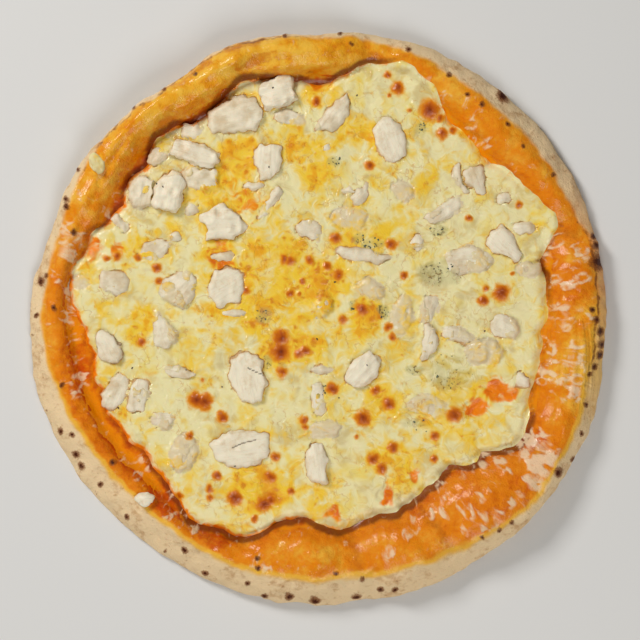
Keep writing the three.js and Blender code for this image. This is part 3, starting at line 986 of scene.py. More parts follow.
@dataclass
class RimProfile:
    """Where the rim's inner foot and outer edge lie at each angle, measured on a crust's mesh."""

    crust: bpy.types.Object
    step: float = 2.0
    # The foot lies between these radii, where the surface first stands this high above the floor.
    innermost: float = 95.0
    outermost: float = 150.0
    foot_rise: float = 1.3
    angles: np.ndarray = field(init=False)
    foot: np.ndarray = field(init=False)
    outer: np.ndarray = field(init=False)

    def __post_init__(self) -> None:
        """Measures both lines every few degrees."""
        self.angles = np.arange(0.0, 360.0, self.step)
        radii = np.arange(self.innermost, self.outermost, 1.0)
        surface = tree_of(self.crust)
        floor = heights_on(surface, np.zeros((1, 3)), 0.0)[0]
        self.foot = np.empty(len(self.angles))
        for i, angle in enumerate(np.radians(self.angles)):
            line = np.column_stack([np.cos(angle) * radii, np.sin(angle) * radii, radii])
            high = heights_on(surface, line, 0.0) > floor + self.foot_rise
            self.foot[i] = radii[np.argmax(high)]
        points = points_of(self.crust.data)
        radius = np.hypot(points[:, 0], points[:, 1])
        bins = np.round(angles_of(points) / self.step).astype(int) % len(self.angles)
        self.outer = np.array([radius[bins == i].max() for i in range(len(self.angles))])

    def foot_at(self, angles: np.ndarray) -> np.ndarray:
        """Gives the radius of the rim's inner foot at each angle."""
        return np.interp(angles, self.angles, self.foot, period=360)

    def outer_at(self, angles: np.ndarray) -> np.ndarray:
        """Gives the radius of the crust's outer edge at each angle."""
        return np.interp(angles, self.angles, self.outer, period=360)


@dataclass
class Crust:
    """The dough: a thin floor and a puffed rim with lobes, blisters, folds and burns."""

    finish: BakedCrust = BakedCrust()
    subdivisions: int = 3
    # Lumps and puckers of the rim, and how far its painted borders wander: (height, size, seed).
    lumps: tuple = ((1.0, 11.0, 11), (0.6, 4.5, 12))
    wander: tuple = ((1.6, 9.0, 21), (0.8, 3.0, 22))
    blister_height: float = 0.6

    # How wide the pale floured side is from above, and how much orange sauce the browned top carries.
    side_run: Stations = (
        (0, 5), (16, 4), (28, 8), (45, 9), (62, 8), (76, 5), (88, 2), (118, 1.2), (140, 1.5), (154, 4),
        (168, 6), (184, 7), (204, 13), (224, 15), (250, 13), (272, 14), (288, 13), (304, 10), (318, 5),
        (332, 6), (344, 8),
    )
    glaze: Stations = (
        (350, 0.5), (8, 0.75), (20, 0.8), (45, 0.65), (68, 0.55), (90, 0.35), (110, 0.35), (135, 0.42),
        (150, 0.55), (165, 0.7), (190, 0.75), (215, 0.85), (235, 0.8), (250, 0.7), (270, 0.7), (290, 0.75),
        (305, 0.85), (325, 0.95),
    )
    # How golden the border between the browned top and the floured side is, and how dark the line along it.
    golden_border: Stations = (
        (20, 0.3), (45, 0.5), (75, 0.4), (150, 0.4), (188, 0.6), (205, 1.0), (345, 1.0), (5, 0.4),
    )
    toasted_line: Stations = (
        (340, 0.2), (352, 0.9), (12, 0.9), (20, 0.6), (30, 0.1), (85, 0.2), (100, 0.75), (145, 0.7),
        (158, 0.1),
    )
    # How far red sauce reaches up from the rim's foot.
    red_reach: Stations = (
        (0, 1), (22, 0), (60, 1), (84, 2), (100, 2.5), (118, 3), (134, 2), (150, 1.5), (172, 3), (190, 4),
        (212, 6), (232, 6), (250, 4), (265, 2.5), (300, 2), (325, 2), (345, 1),
    )
    burns: tuple[Spot, ...] = each(
        Spot, (503, 95, 3.4), (467, 95, 1.2), (449, 75, 1.2), (482, 104, 1.6), (507, 124, 1.3),
        (523, 146, 1.2), (553, 175, 1.2), (595, 222, 1.6), (598, 262, 4.2), (596, 232, 1.4),
        (596, 244, 1.3), (585, 405, 1.4), (582, 434, 1.2), (574, 460, 1.4), (558, 472, 2.4),
        (482, 537, 1.2), (498, 529, 1.2), (512, 522, 1.2), (356, 598, 2.4), (289, 597, 2.0),
        (315, 602, 2.4), (265, 598, 1.6), (248, 583, 1.4), (381, 589, 1.5), (395, 590, 1.4),
        (362, 579, 1.3), (336, 572, 1.2), (258, 558, 1.2), (258, 568, 1.2), (205, 575, 1.6),
        (185, 550, 1.5), (165, 552, 1.2), (127, 517, 1.4), (100, 485, 1.4), (113, 462, 1.9), (75, 455, 2.0),
        (81, 466, 1.9), (60, 431, 1.6), (72, 435, 1.4), (45, 412, 1.5), (62, 385, 1.3), (30, 335, 1.4),
        (36, 315, 1.4), (55, 308, 1.3), (40, 283, 1.4), (46, 275, 1.2), (74, 233, 1.6), (66, 200, 1.6),
        (66, 207, 1.6), (78, 170, 1.2), (133, 107, 1.2), (165, 90, 1.2), (195, 75, 1.2), (285, 36, 1.2),
        (340, 33, 1.2), (352, 45, 1.2), (408, 50, 1.3),
    )
    # The dark line along the right-hand edge.
    edge_line: tuple[Spot, ...] = each(
        Spot, (592, 310, 1.4), (596, 320, 1.9), (600, 332, 2.2), (602, 344, 2.2), (600, 355, 2.0),
        (595, 366, 1.8), (590, 374, 1.4), (594, 236, 1.6), (597, 246, 2.0), (40, 281, 2.2),
    )
    # How floury the side is; less on the right, where it is baked golden.
    floured: Stations = ((335, 0.9), (348, 0.45), (12, 0.4), (28, 0.8), (45, 1.0))
    films: tuple[Zone, ...] = each(
        Zone, (540, 594, 232, 264, 0.5), (542, 594, 264, 292, 0.45), (534, 592, 298, 334, 0.6),
        (536, 594, 358, 404, 0.6), (450, 516, 496, 548, 0.5), (520, 545, 465, 485, 0.8),
        (540, 560, 480, 500, 0.7), (508, 532, 492, 508, 0.7), (460, 482, 462, 480, 0.7),
        (540, 570, 445, 468, 0.6), (246, 272, 548, 572, 0.55), (378, 396, 542, 572, 0.7),
        (425, 446, 476, 518, 0.65), (404, 422, 510, 542, 0.6), (48, 86, 220, 264, 0.7),
        (430, 446, 74, 112, 0.35), (460, 505, 110, 150, 0.3), (508, 532, 142, 168, 0.35),
        (54, 86, 250, 340, 0.45), (60, 90, 365, 398, 0.5), (120, 152, 452, 478, 0.55),
        (178, 202, 518, 546, 0.4), (96, 130, 200, 224, 0.45), (150, 200, 480, 520, 0.3),
        (516, 556, 428, 476, 0.9), (530, 562, 462, 502, 0.9), (516, 552, 498, 516, 0.8),
        (466, 512, 448, 476, 0.6), (536, 590, 330, 400, 0.55),
    )
    # Where the sauced top is folded into fine wrinkles that run outwards: (angle, height).
    wrinkles: Stations = (
        (335, 0.0), (345, 0.6), (2, 0.5), (8, 0.9), (16, 0.9), (22, 0.2), (40, 0.0), (52, 0.3), (70, 0.0),
    )
    # Where the rim has long folds that run along it: (angle, height).
    long_folds: Stations = ((60, 0.2), (85, 0.5), (100, 0.9), (150, 1.1), (170, 0.4), (230, 0.0), (40, 0.0))
    # How dark the painted shade is in the gap under the cheese's outer edge.
    edge_shade: Stations = (
        (0, 0.3), (12, 0.9), (26, 0.1), (70, 0.1), (78, 0.8), (130, 0.9), (150, 0.6), (175, 0.3),
        (215, 0.5), (235, 1.0), (262, 1.1), (285, 0.9), (300, 1.2), (325, 1.2), (338, 0.5),
    )
    pools: tuple[Zone, ...] = each(
        Zone, (64, 92, 342, 398, 0.8), (150, 192, 474, 522, 0.8), (194, 242, 522, 548, 0.8),
        (214, 262, 86, 108, 0.7), (166, 206, 112, 132, 0.6), (118, 142, 160, 186, 0.5),
        (504, 542, 422, 452, 0.8), (540, 592, 286, 302, 0.5), (456, 480, 480, 510, 0.5),
    )
    # Creases between the lobes, darkened with painted shade: (angle, width in degrees); how dark they are,
    # and how far they bend.
    crease_lines: Stations = ((18, 2.0), (79, 2.2), (147, 2.5), (278.5, 3.0), (300, 3.0), (329, 2.6))
    crease_shade: float = 0.35
    crease_bend: float = 2.2

    def build(self) -> tuple[bpy.types.Object, RimProfile]:
        """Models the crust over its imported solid.

        Returns:
            The crust, and the lines of its rim.
        """
        crust = merged_copy("crust", "baked_crust")
        bpy.ops.object.mode_set(mode="EDIT")
        bpy.ops.mesh.select_all(action="SELECT")
        bpy.ops.mesh.tris_convert_to_quads()
        bpy.ops.object.mode_set(mode="OBJECT")
        apply_modifier(crust, "SUBSURF", levels=self.subdivisions, render_levels=self.subdivisions)
        profile = RimProfile(crust)
        self.relief(crust.data, profile)
        self.mark(crust.data, profile)
        finish_piece(crust, self.finish.material(), "crust", "crust")
        return crust, profile

    def relief(self, mesh: bpy.types.Mesh, profile: RimProfile) -> None:
        """Raises lumps, puckers and blisters on the rim, and keeps the underside flat.

        Args:
            mesh: The crust's mesh.
            profile: The lines of its rim.
        """
        points = points_of(mesh)
        normals = normals_of(mesh)
        angles = angles_of(points)
        radius = np.hypot(points[:, 0], points[:, 1])
        on_rim = eased(radius - profile.foot_at(angles), -1.0, 4.0) * eased(points[:, 2], 0.6, 3.0)
        lift = layered(points, self.lumps)
        lift += self.blister_height * eased(cones(points, self.burns), 0.2, 0.9)
        folds = np.column_stack([radius / 16.0, np.radians(angles) * radius / 4.5, np.zeros(len(points))])
        lift += around(angles, self.wrinkles) * soft_noise(folds, 1.0, 13)
        folds = np.column_stack([radius / 4.5, np.radians(angles) * radius / 22.0, np.zeros(len(points))])
        folded = around(angles, self.long_folds) * soft_noise(folds, 1.0, 14)
        lift += folded
        store(mesh, "fold", eased(-folded, 0.1, 0.9))
        points += normals * (lift * on_rim)[:, None]
        points[:, 2] = np.clip(points[:, 2], 0.0, CAD_BOX[1][2] / MM)
        place_points(mesh, points)

    def shade(self, points: np.ndarray) -> np.ndarray:
        """Gives how dark the painted shade is in the narrow gap under the cheese's outer edge.

        Args:
            points: Rows of millimetres.

        Returns:
            The line's share at each point.
        """
        angles = angles_of(points)
        outward = np.hypot(points[:, 0], points[:, 1]) - sheet_edge(angles)
        return around(angles, self.edge_shade) * np.exp(-(((outward - 0.8) / 2.4) ** 2))

    def mark(self, mesh: bpy.types.Mesh, profile: RimProfile) -> None:
        """Stores where flour, sauce, film and burns lie, for the material.

        Args:
            mesh: The crust's mesh.
            profile: The lines of its rim.
        """
        points = points_of(mesh)
        angles = angles_of(points)
        radius = np.hypot(points[:, 0], points[:, 1])
        inward = profile.outer_at(angles) - radius
        upward = radius - profile.foot_at(angles)
        wander = layered(points, self.wander)
        past_side = inward - around(angles, self.side_run) + wander
        side = 1.0 - eased(past_side, -1.8, 1.8)
        side = np.maximum(side, 1.0 - eased(points[:, 2], 3.0, 6.0) * eased(upward, -2.0, 0.0))
        side *= eased(upward, -3.0, 2.0)
        reach = np.maximum(around(angles, self.red_reach), 0.3)
        red = 1.0 - eased((upward + wander) / reach, 0.3, 1.3)
        red = np.maximum(red, shares(points, self.pools))
        painted_shade = np.zeros(len(points))
        bent = self.crease_bend * soft_noise(points, 12.0, 24)
        for angle, spread in self.crease_lines:
            apart = np.abs((angles + bent - angle + 180) % 360 - 180)
            painted_shade = np.maximum(painted_shade, np.exp(-0.5 * (apart / (0.5 * spread)) ** 2))
        underside = 1.0 - eased(points[:, 2], 1.0, 3.0)
        store(mesh, "flour", np.maximum(side * around(angles, self.floured), underside))
        store(mesh, "border", around(angles, self.golden_border) * (1.0 - eased(past_side, 0.0, 6.0)))
        line = np.exp(-(((past_side - 0.5) / 1.2) ** 2)) * eased(points[:, 2], 4.0, 8.0)
        store(mesh, "toasted", around(angles, self.toasted_line) * line)
        store(mesh, "glaze", around(angles, self.glaze) + 0.25 * (1.0 - eased(upward, 0.0, 16.0)) - 0.1)
        store(mesh, "red", red)
        store(mesh, "film", shares(points, self.films))
        store(mesh, "drawn", drawn_outwards(points))
        # Burns lie on the upper half of the side and fade towards the underside.
        store(mesh, "char", cones(points, self.burns + self.edge_line) * eased(points[:, 2], 3.0, 8.0))
        painted_shade *= self.crease_shade * eased(inward, 4.0, 12.0)
        store(mesh, "painted_shade", np.maximum(painted_shade, self.shade(points)))


# ---- The sauce -------------------------------------------------------------------------------------------


@dataclass
class SaucePool:
    """The hot sauce spread on the dough, which shows as a wet band between the cheese and the rim."""

    finish: HotSauce = HotSauce()
    cells: int = 150
    bottom: float = 4.35
    level: float = 5.35
    climb: float = 6.0
    film: float = 0.25
    tuck: float = 0.35
    ripple_height: float = 0.3
    edge_rags: float = 2.0
    edge_ring: float = 130.0
    # How far in from its edge the pool is fitted to the rim's slope, and how softly the two meet.
    fitted_width: float = 34.0
    fillet: float = 1.2
    # How red the sauce is round the pizza, where the cheese's edge keeps it thick.
    redness: Stations = (
        (0, 0.4), (30, 0.3), (60, 0.5), (80, 0.9), (100, 0.6), (120, 0.9), (140, 0.9), (165, 0.5),
        (190, 0.55), (215, 0.7), (240, 0.75), (265, 0.5), (300, 0.3), (330, 0.3),
    )

    def build(self, rim: Crust, crust: BVHTree, profile: RimProfile) -> bpy.types.Object:
        """Models the pool on the dough, drawn up a little on the rim's inner slope.

        Args:
            rim: The crust's sizes, whose glaze and film the pool carries on.
            crust: The crust's search tree.
            profile: The lines of its rim.

        Returns:
            The finished pool.
        """

        def edge(angles: np.ndarray) -> np.ndarray:
            """Gives the pool's ragged outer radius."""
            ragged = self.edge_rags * rough_noise(ring_of(angles, self.edge_ring), 7.0, 35)
            return profile.foot_at(angles) + self.climb + ragged

        pool, points, inside = round_sheet("hot_sauce", self.cells, edge)
        level = self.level + self.ripple_height * rough_noise(points, 5.0, 31)
        slope = np.full(len(points), FLOOR_TOP)
        outer = inside < self.fitted_width
        slope[outer] = heights_on(crust, points[outer], FLOOR_TOP)
        skin = self.film * eased(inside, 0.0, 6.0) - self.tuck * (1.0 - eased(inside, 0.0, 5.0))
        points[:, 2] = higher(slope + skin, level, self.fillet)
        place_points(pool.data, points)
        angles = angles_of(points)
        store(pool.data, "glaze", around(angles, rim.glaze) + 0.1)
        outward = np.hypot(points[:, 0], points[:, 1]) - cheese_edge(angles)
        red = around(angles, self.redness) * (1.0 - 0.7 * eased(outward, 1.0, 7.0))
        store(pool.data, "red", np.maximum(red, shares(points, rim.pools)))
        store(pool.data, "film", shares(points, rim.films))
        store(pool.data, "drawn", drawn_outwards(points))
        store(pool.data, "painted_shade", rim.shade(points))
        close_sheet(pool, crust, self.bottom)
        finish_piece(pool, self.finish.material(), "sauce", "sauce")
        return pool


# ---- The chicken -----------------------------------------------------------------------------------------


class Cover(Enum):
    """How much melted cheese lies over a slice of chicken."""

    BARE = 0.0
    EDGED = 0.4
    HALF = 0.62
    VEILED = 1.0


@dataclass(frozen=True)
class Slice:
    """How one slice looks."""

    node: str
    cover: Cover = Cover.EDGED
    dull: float = 0.35
    browned: float = 0.0
    crumple: float = 1.0


@dataclass
class ChickenSlices:
    """The slices of chicken breast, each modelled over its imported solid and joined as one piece."""

    finish: RoastChicken = RoastChicken()
    count: int = 54
    voxel: float = 0.85
    smoothing: int = 4
    fibre_width: float = 1.3
    fibre_length: float = 9.0
    fibre_height: float = 0.3
    lump_height: float = 0.45
    edge_wander: float = 2.0
    edge_drop: float = 0.8
    edge_width: float = 3.0
    scrap_height: float = 2.4
    least_rise: float = 2.4
    crack_depth: float = 0.5
    cheese_level: float = 9.5
    # How deep a scrap's middle lies under the cheese's surface.
    scrap_sink: float = 0.6

    # The numbers of the slices that are white and clean, half sunk, veiled, browned, greyish or crumpled.
    clean: tuple = (1, 2, 3, 4, 5, 6, 7, 8, 9, 10, 11, 12, 13, 18)
    half_sunk: tuple = (14, 15, 19, 20, 25, 28, 29, 30, 31, 40, 33)
    veiled: tuple = (52, 49, 45, 37, 22, 50, 51, 44, 47, 48)
    dark: tuple = (16,)
    grey: tuple = (12, 18, 19, 20, 34, 41)
    crumpled: tuple = (1, 2, 3, 4, 19, 20, 23, 9, 22, 25)
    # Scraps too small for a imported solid, as the photograph's columns, rows, widths and heights.
    scraps: tuple = (
        (190, 209, 20, 16), (254, 186, 26, 10), (326, 147, 13, 11), (176, 236, 15, 12), (503, 199, 16, 12),
        (322, 370, 34, 10), (234, 313, 30, 13), (524, 228, 28, 13), (418, 243, 14, 22), (350, 191, 22, 9),
        (366, 187, 10, 17),
    )
    veiled_scraps: tuple = ((530, 268, 28, 19),)
    # Fine cracks, cut in and darkened with painted shade, as the photograph's columns and rows of their
    # corners.
    cracks: tuple = (
        ((232, 448), (243, 443), (256, 440)), ((248, 368), (256, 372), (266, 376)),
    )

    def slices(self) -> list[Slice]:
        """Gives every slice's look.

        Returns:
            One entry for each packed slice, the scrap on the rim last.
        """
        looks = []
        for number in range(1, self.count + 1):
            cover, dull = Cover.EDGED, 0.35
            if number in self.clean:
                cover, dull = Cover.BARE, 0.0
            elif number in self.half_sunk:
                cover, dull = Cover.HALF, 0.35
            elif number in self.veiled:
                cover, dull = Cover.VEILED, 0.6
            browned = 0.75 if number in self.dark else 0.0
            if number in self.grey:
                dull = max(dull, 0.45)
            crumple = 2.2 if number in self.crumpled else 1.0
            looks.append(Slice(f"chicken_{number:02d}", cover, dull, browned, crumple))
        return looks + [Slice("chicken_on_rim", Cover.BARE, 0.0)]

    def scrap(self, place: tuple, crust: BVHTree) -> bpy.types.Object:
        """Models a scrap's plain lump where it lies.

        Args:
            place: The photograph's column and row of its middle, and its width and height there.
            crust: The crust's search tree.

        Returns:
            The lump's object.
        """
        column, row, width, height = place
        middle = np.array([[*on_plan(column, row), 0.0]])
        ground = max(heights_on(crust, middle, 0.0)[0], self.cheese_level - self.scrap_sink)
        bpy.ops.object.select_all(action="DESELECT")
        bpy.ops.mesh.primitive_ico_sphere_add(subdivisions=3, radius=1.0)
        lump = bpy.context.object
        size = np.array([0.5 * width * MM_PER_PIXEL, 0.5 * height * MM_PER_PIXEL, self.scrap_height])
        place_points(lump.data, points_of(lump.data) * MM * size + middle + [0.0, 0.0, ground])
        return lump

    def shape(self, piece: bpy.types.Object, look: Slice, seed: int) -> bpy.types.Object:
        """Models one slice: rounded, ragged and fibrous.

        Args:
            piece: The slice's plain shape.
            look: The slice's look.
            seed: A number that picks its unevenness.

        Returns:
            The slice's object, with its marks stored on the mesh.
        """
        apply_modifier(piece, "REMESH", mode="VOXEL", voxel_size=self.voxel * MM)
        apply_modifier(piece, "SMOOTH", factor=0.5, iterations=self.smoothing)
        mesh = piece.data
        points = points_of(mesh)
        normals = normals_of(mesh)
        middle = points.mean(axis=0)
        flat = (points - middle)[:, :2]
        _, axes = np.linalg.eigh(flat.T @ flat)
        long_way, cross_way = axes[:, 1], axes[:, 0]
        fibre = np.column_stack(
            [flat @ long_way / self.fibre_length, flat @ cross_way / self.fibre_width, points[:, 2] / 2.5]
        )
        upper = eased(points[:, 2], self.cheese_level - 1.5, self.cheese_level + 0.8)
        wander = rough_noise(points, 7.0, 100 + seed) + 0.4 * soft_noise(points, 2.6, 150 + seed) - 0.2
        points[:, :2] += normals[:, :2] * (self.edge_wander * wander)[:, None]
        facing = np.clip(normals[:, 2], 0.0, 1.0) * upper
        points[:, 2] += facing * self.fibre_height * soft_noise(fibre, 1.0, 200 + seed)
        ridges = 1.0 - 2.0 * np.abs(soft_noise(points, 5.0, 300 + seed))
        crumple = self.lump_height * look.crumple
        points[:, 2] += facing * crumple * (ridges - 0.4 + 0.6 * soft_noise(points, 8.0, 400 + seed))
        rim = 1.0 - eased(self.inside_outline(points), 0.0, self.edge_width)
        points[:, 2] -= self.edge_drop * upper * rim
        crack = np.zeros(len(points))
        for line in self.cracks:
            crack = np.maximum(crack, self.crack_share(points, line))
        points[:, 2] -= self.crack_depth * crack * facing
        place_points(mesh, points)
        rise = points[:, 2] - min(self.cheese_level, points[:, 2].max() - self.least_rise)
        store(mesh, "fibre", fibre + seed)
        edge = 1.0 - np.clip(normals[:, 2], 0.0, 1.0)
        store(mesh, "dull", np.full(len(points), look.dull))
        store(mesh, "soaked", 0.8 - 0.8 * eased(rise, 0.0, 1.4) + 0.1 * edge)
        store(mesh, "browned", look.browned * eased(edge, 0.05, 0.6))
        store(mesh, "crack", crack * facing)
        return piece

    def inside_outline(self, points: np.ndarray) -> np.ndarray:
        """Gives how far inside its slice's outline each point lies, seen from above.

        Args:
            points: The slice's vertices.

        Returns:
            Distances in millimetres.
        """
        flat = [Vector(p) for p in points[:, :2]]
        corners = points[geometry.convex_hull_2d(flat), :2]
        inside = np.full(len(points), np.inf)
        for start, end in zip(corners, np.roll(corners, -1, axis=0)):
            run = (end - start) / np.linalg.norm(end - start)
            away = np.abs((points[:, 0] - start[0]) * run[1] - (points[:, 1] - start[1]) * run[0])
            inside = np.minimum(inside, away)
        return inside

    def crack_share(self, points: np.ndarray, line: tuple) -> np.ndarray:
        """Gives 1 on a crack's line, falling to 0 half a millimetre off it.

        Args:
            points: Rows of millimetres.
            line: The crack's corners as the photograph's columns and rows.

        Returns:
            The crack's share at each point.
        """
        share = np.zeros(len(points))
        for (column, row), (next_column, next_row) in itertools.pairwise(line):
            start = np.array(on_plan(column, row))
            run = np.array([next_column - column, row - next_row]) * MM_PER_PIXEL
            part = np.clip((points[:, :2] - start) @ run / (run @ run), 0.0, 1.0)
            away = np.linalg.norm(points[:, :2] - start - part[:, None] * run, axis=1)
            share = np.maximum(share, 1.0 - eased(away, 0.1, 0.7))
        return share

    def build(self, crust: BVHTree) -> tuple[bpy.types.Object, list[tuple[Slice, BVHTree, np.ndarray]]]:
        """Models every slice and scrap.

        Args:
            crust: The crust's search tree.

        Returns:
            The joined piece, and each slice's look, search tree and box for the cheese to follow.
        """
        pieces, trees = [], []
        shapes = [(merged_copy(look.node, f"meat_{look.node}"), look) for look in self.slices()]
        shapes += [(self.scrap(place, crust), Slice("", Cover.EDGED, 0.35)) for place in self.scraps]
        shapes += [(self.scrap(place, crust), Slice("", Cover.VEILED, 0.6)) for place in self.veiled_scraps]
        for seed, (plain, look) in enumerate(shapes):
            piece = self.shape(plain, look, seed)
            points = points_of(piece.data)
            trees.append((look, tree_of(piece), np.array([points.min(axis=0), points.max(axis=0)])))
            pieces.append(piece)
        chicken = joined(pieces, "chicken_slices")
        nodes = [look.node for look, _, _ in trees if look.node]
        finish_piece(chicken, self.finish.material(), "chicken", *nodes)
        return chicken, trees


# ---- The cheese ------------------------------------------------------------------------------------------


@dataclass
class CheeseSheet:
    """The melted cheese: a lumpy sheet that laps onto the rim and part of the chicken."""

    finish: MeltedCheese = MeltedCheese()
    cells: int = 300
    bottom: float = 5.7
    level: float = 9.5
    edge_round: float = 6.0
    film: float = 1.2
    tuck: float = 0.5
    fitted_width: float = 32.0
    fillet: float = 0.5
    # Lumps of the surface: (height, size, seed). Where sauce shows, the sheet sinks; blisters stand up.
    lumps: tuple = ((0.5, 22.0, 51), (0.55, 9.0, 52), (0.25, 4.5, 53))
    window_depth: float = 1.0
    blister_height: float = 0.7
    # A slice whose top is less than `reveal` under the cheese is laid bare, the cheese `below` its top.
    reveal: float = 1.4
    below: float = 0.5
    # The cheese climbs by `lap` within `reach` of a slice, and a brown line of juice and painted contact
    # shade lies within `line`.
    reach: float = 2.5
    lap: float = 0.5
    line: float = 1.2
    # A veil's edge wanders by `patchiness`; it stands `veil_height` over `veil_sink` under a slice's top.
    patchiness: float = 0.4
    veil_height: float = 0.75
    veil_sink: float = 0.35

    # How much sauce lies over the sheet's edge at each angle.
    edge_sauce: Stations = (
        (45, 0.3), (90, 0.7), (150, 0.8), (240, 0.85), (268, 0.7), (285, 0.2), (350, 0.1), (15, 0.2),
    )
    blisters: tuple[Spot, ...] = each(
        Spot, (430, 110, 4.4), (440, 118, 1.7), (443, 133, 2.7), (453, 130, 1.7), (398, 88, 2.7),
        (387, 75, 1.7), (390, 95, 1.1), (409, 110, 1.1), (369, 165, 2.2), (316, 101, 2.2), (519, 204, 1.8),
        (469, 218, 1.6), (106, 259, 1.7), (117, 257, 2.2), (138, 257, 1.7), (157, 268, 2.2),
        (160, 281, 1.7), (142, 342, 2.2), (196, 400, 3.4), (204, 401, 3.4), (202, 380, 1.1),
        (336, 238, 2.5), (391, 244, 2.6), (310, 260, 2.0), (284, 259, 2.2), (291, 261, 2.4),
        (327, 266, 2.0), (339, 275, 2.5), (404, 275, 1.7), (290, 293, 1.7), (299, 294, 1.2),
        (303, 281, 1.7), (246, 290, 1.7), (362, 309, 2.9), (343, 320, 2.0), (281, 338, 3.7),
        (280, 352, 3.8), (298, 354, 2.4), (305, 350, 2.4), (282, 372, 2.6), (222, 417, 2.6),
        (388, 327, 2.0), (393, 337, 1.7), (332, 389, 2.6), (375, 391, 2.2), (389, 404, 2.8),
        (363, 418, 3.4), (304, 420, 1.8), (305, 427, 1.5), (502, 293, 3.6), (484, 301, 2.4),
        (485, 288, 1.6), (513, 273, 1.2), (455, 415, 3.3), (276, 457, 2.0), (270, 477, 2.7),
        (235, 498, 3.2), (264, 504, 3.6), (271, 500, 3.0), (291, 492, 1.7), (254, 519, 1.7),
        (373, 459, 2.6), (382, 469, 2.6), (393, 448, 2.6), (356, 437, 1.1), (435, 436, 2.0),
        (434, 459, 1.7), (179, 496, 2.0), (209, 489, 1.8), (210, 498, 1.8), (190, 435, 2.0),
        (217, 476, 1.9),
    )
    golden: tuple[Zone, ...] = each(
        Zone, (218, 258, 138, 178, 0.95), (288, 338, 138, 186, 0.75), (338, 382, 118, 166, 0.7),
        (222, 348, 228, 348, 0.7), (258, 322, 322, 372, 0.8), (348, 382, 298, 336, 0.75),
        (128, 152, 298, 346, 0.75), (222, 292, 468, 516, 0.75), (368, 422, 438, 482, 0.75),
        (424, 502, 374, 442, 0.35), (298, 337, 84, 106, 0.7), (374, 404, 78, 102, 0.5),
        (318, 400, 228, 262, 0.5), (360, 400, 380, 425, 0.6), (205, 240, 228, 270, 0.8),
        (190, 260, 176, 216, 0.6), (118, 150, 236, 268, 0.5), (478, 520, 278, 308, 0.5),
        (196, 230, 300, 345, 0.45), (300, 345, 470, 520, 0.45), (160, 215, 478, 510, 0.45),
    )
    cream: tuple[Zone, ...] = each(
        Zone, (352, 422, 58, 116), (338, 372, 143, 182), (424, 546, 188, 322, 0.7),
        (264, 302, 394, 422, 1.2), (328, 386, 454, 516, 0.8), (168, 232, 418, 442, 0.7),
        (168, 226, 478, 522, 0.5), (138, 192, 338, 412, 0.8), (118, 152, 262, 292, 0.6),
        (300, 345, 420, 470, 0.5),
    )
    sauced: tuple[Zone, ...] = each(
        Zone, (463, 489, 401, 420, 0.95), (484, 520, 378, 404, 0.95), (378, 392, 480, 507, 0.85),
        (322, 340, 505, 520, 0.8), (408, 422, 468, 482, 0.7), (223, 267, 178, 217, 0.5),
        (203, 237, 238, 272, 0.6), (78, 107, 238, 264, 0.7), (110, 124, 233, 257, 0.6),
    )
    # Drifts of blue mould: those with crumbs of it, and fainter ones without.
    mould: tuple[Zone, ...] = each(
        Zone, (412, 428, 122, 138), (424, 452, 223, 237), (418, 462, 260, 287), (424, 478, 352, 397, 0.85),
        (398, 428, 418, 432, 0.8), (362, 376, 240, 254, 1.2), (353, 368, 234, 246), (370, 384, 236, 248),
        (378, 390, 307, 319, 1.2), (346, 358, 301, 313), (256, 275, 306, 322), (328, 342, 157, 169),
        (318, 328, 384, 398, 1.1),
    )
    faint_mould: tuple[Zone, ...] = each(
        Zone, (406, 424, 366, 378), (258, 272, 358, 372), (276, 290, 364, 376),
    )

    def build(
        self, ground: tuple[BVHTree, BVHTree], slices: list[tuple[Slice, BVHTree, np.ndarray]]
    ) -> bpy.types.Object:
        """Models the sheet over the crust and round the chicken.

        Args:
            ground: The search trees of the crust and the sauce.
            slices: Each slice's look, search tree and box.

        Returns:
            The finished sheet.
        """
        sheet, points, inside = round_sheet("melted_cheese", self.cells, sheet_edge)
        points[:, 2] = self.heights(points, inside, ground)
        juice_and_shade, veil = self.round_chicken(points, slices)
        place_points(sheet.data, points)
        self.mark(sheet.data, points, inside, juice_and_shade, veil)
        close_sheet(sheet, ground[0], self.bottom)
        finish_piece(sheet, self.finish.material(), "cheese", "cheese")
        return sheet

    def heights(
        self, points: np.ndarray, inside: np.ndarray, ground: tuple[BVHTree, BVHTree]
    ) -> np.ndarray:
        """Works out how high the sheet lies, on the sauce and up the rim's inner slope.

        Args:
            points: The sheet's vertices.
            inside: Each one's distance from the sheet's edge.
            ground: The search trees of the crust and the sauce.

        Returns:
            Heights in millimetres.
        """
        level = self.level + layered(points, self.lumps)
        level -= self.window_depth * eased(shares(points, self.sauced), 0.4, 0.9)
        level += self.blister_height * eased(cones(points, self.blisters), 0.3, 0.8)
        rounded = 1.0 - (1.0 - np.clip(inside / self.edge_round, 0.0, 1.0)) ** 2
        low = self.bottom + (level - self.bottom) * rounded
        near_edge = inside < self.fitted_width
        slope = np.full(len(points), FLOOR_TOP)
        floors = [heights_on(tree, points[near_edge], FLOOR_TOP) for tree in ground]
        slope[near_edge] = np.max(floors, axis=0)
        skin = self.film * eased(inside, 0.0, 4.0) - self.tuck * (1.0 - eased(inside, 0.0, 1.2))
        return higher(slope + skin, low, self.fillet)

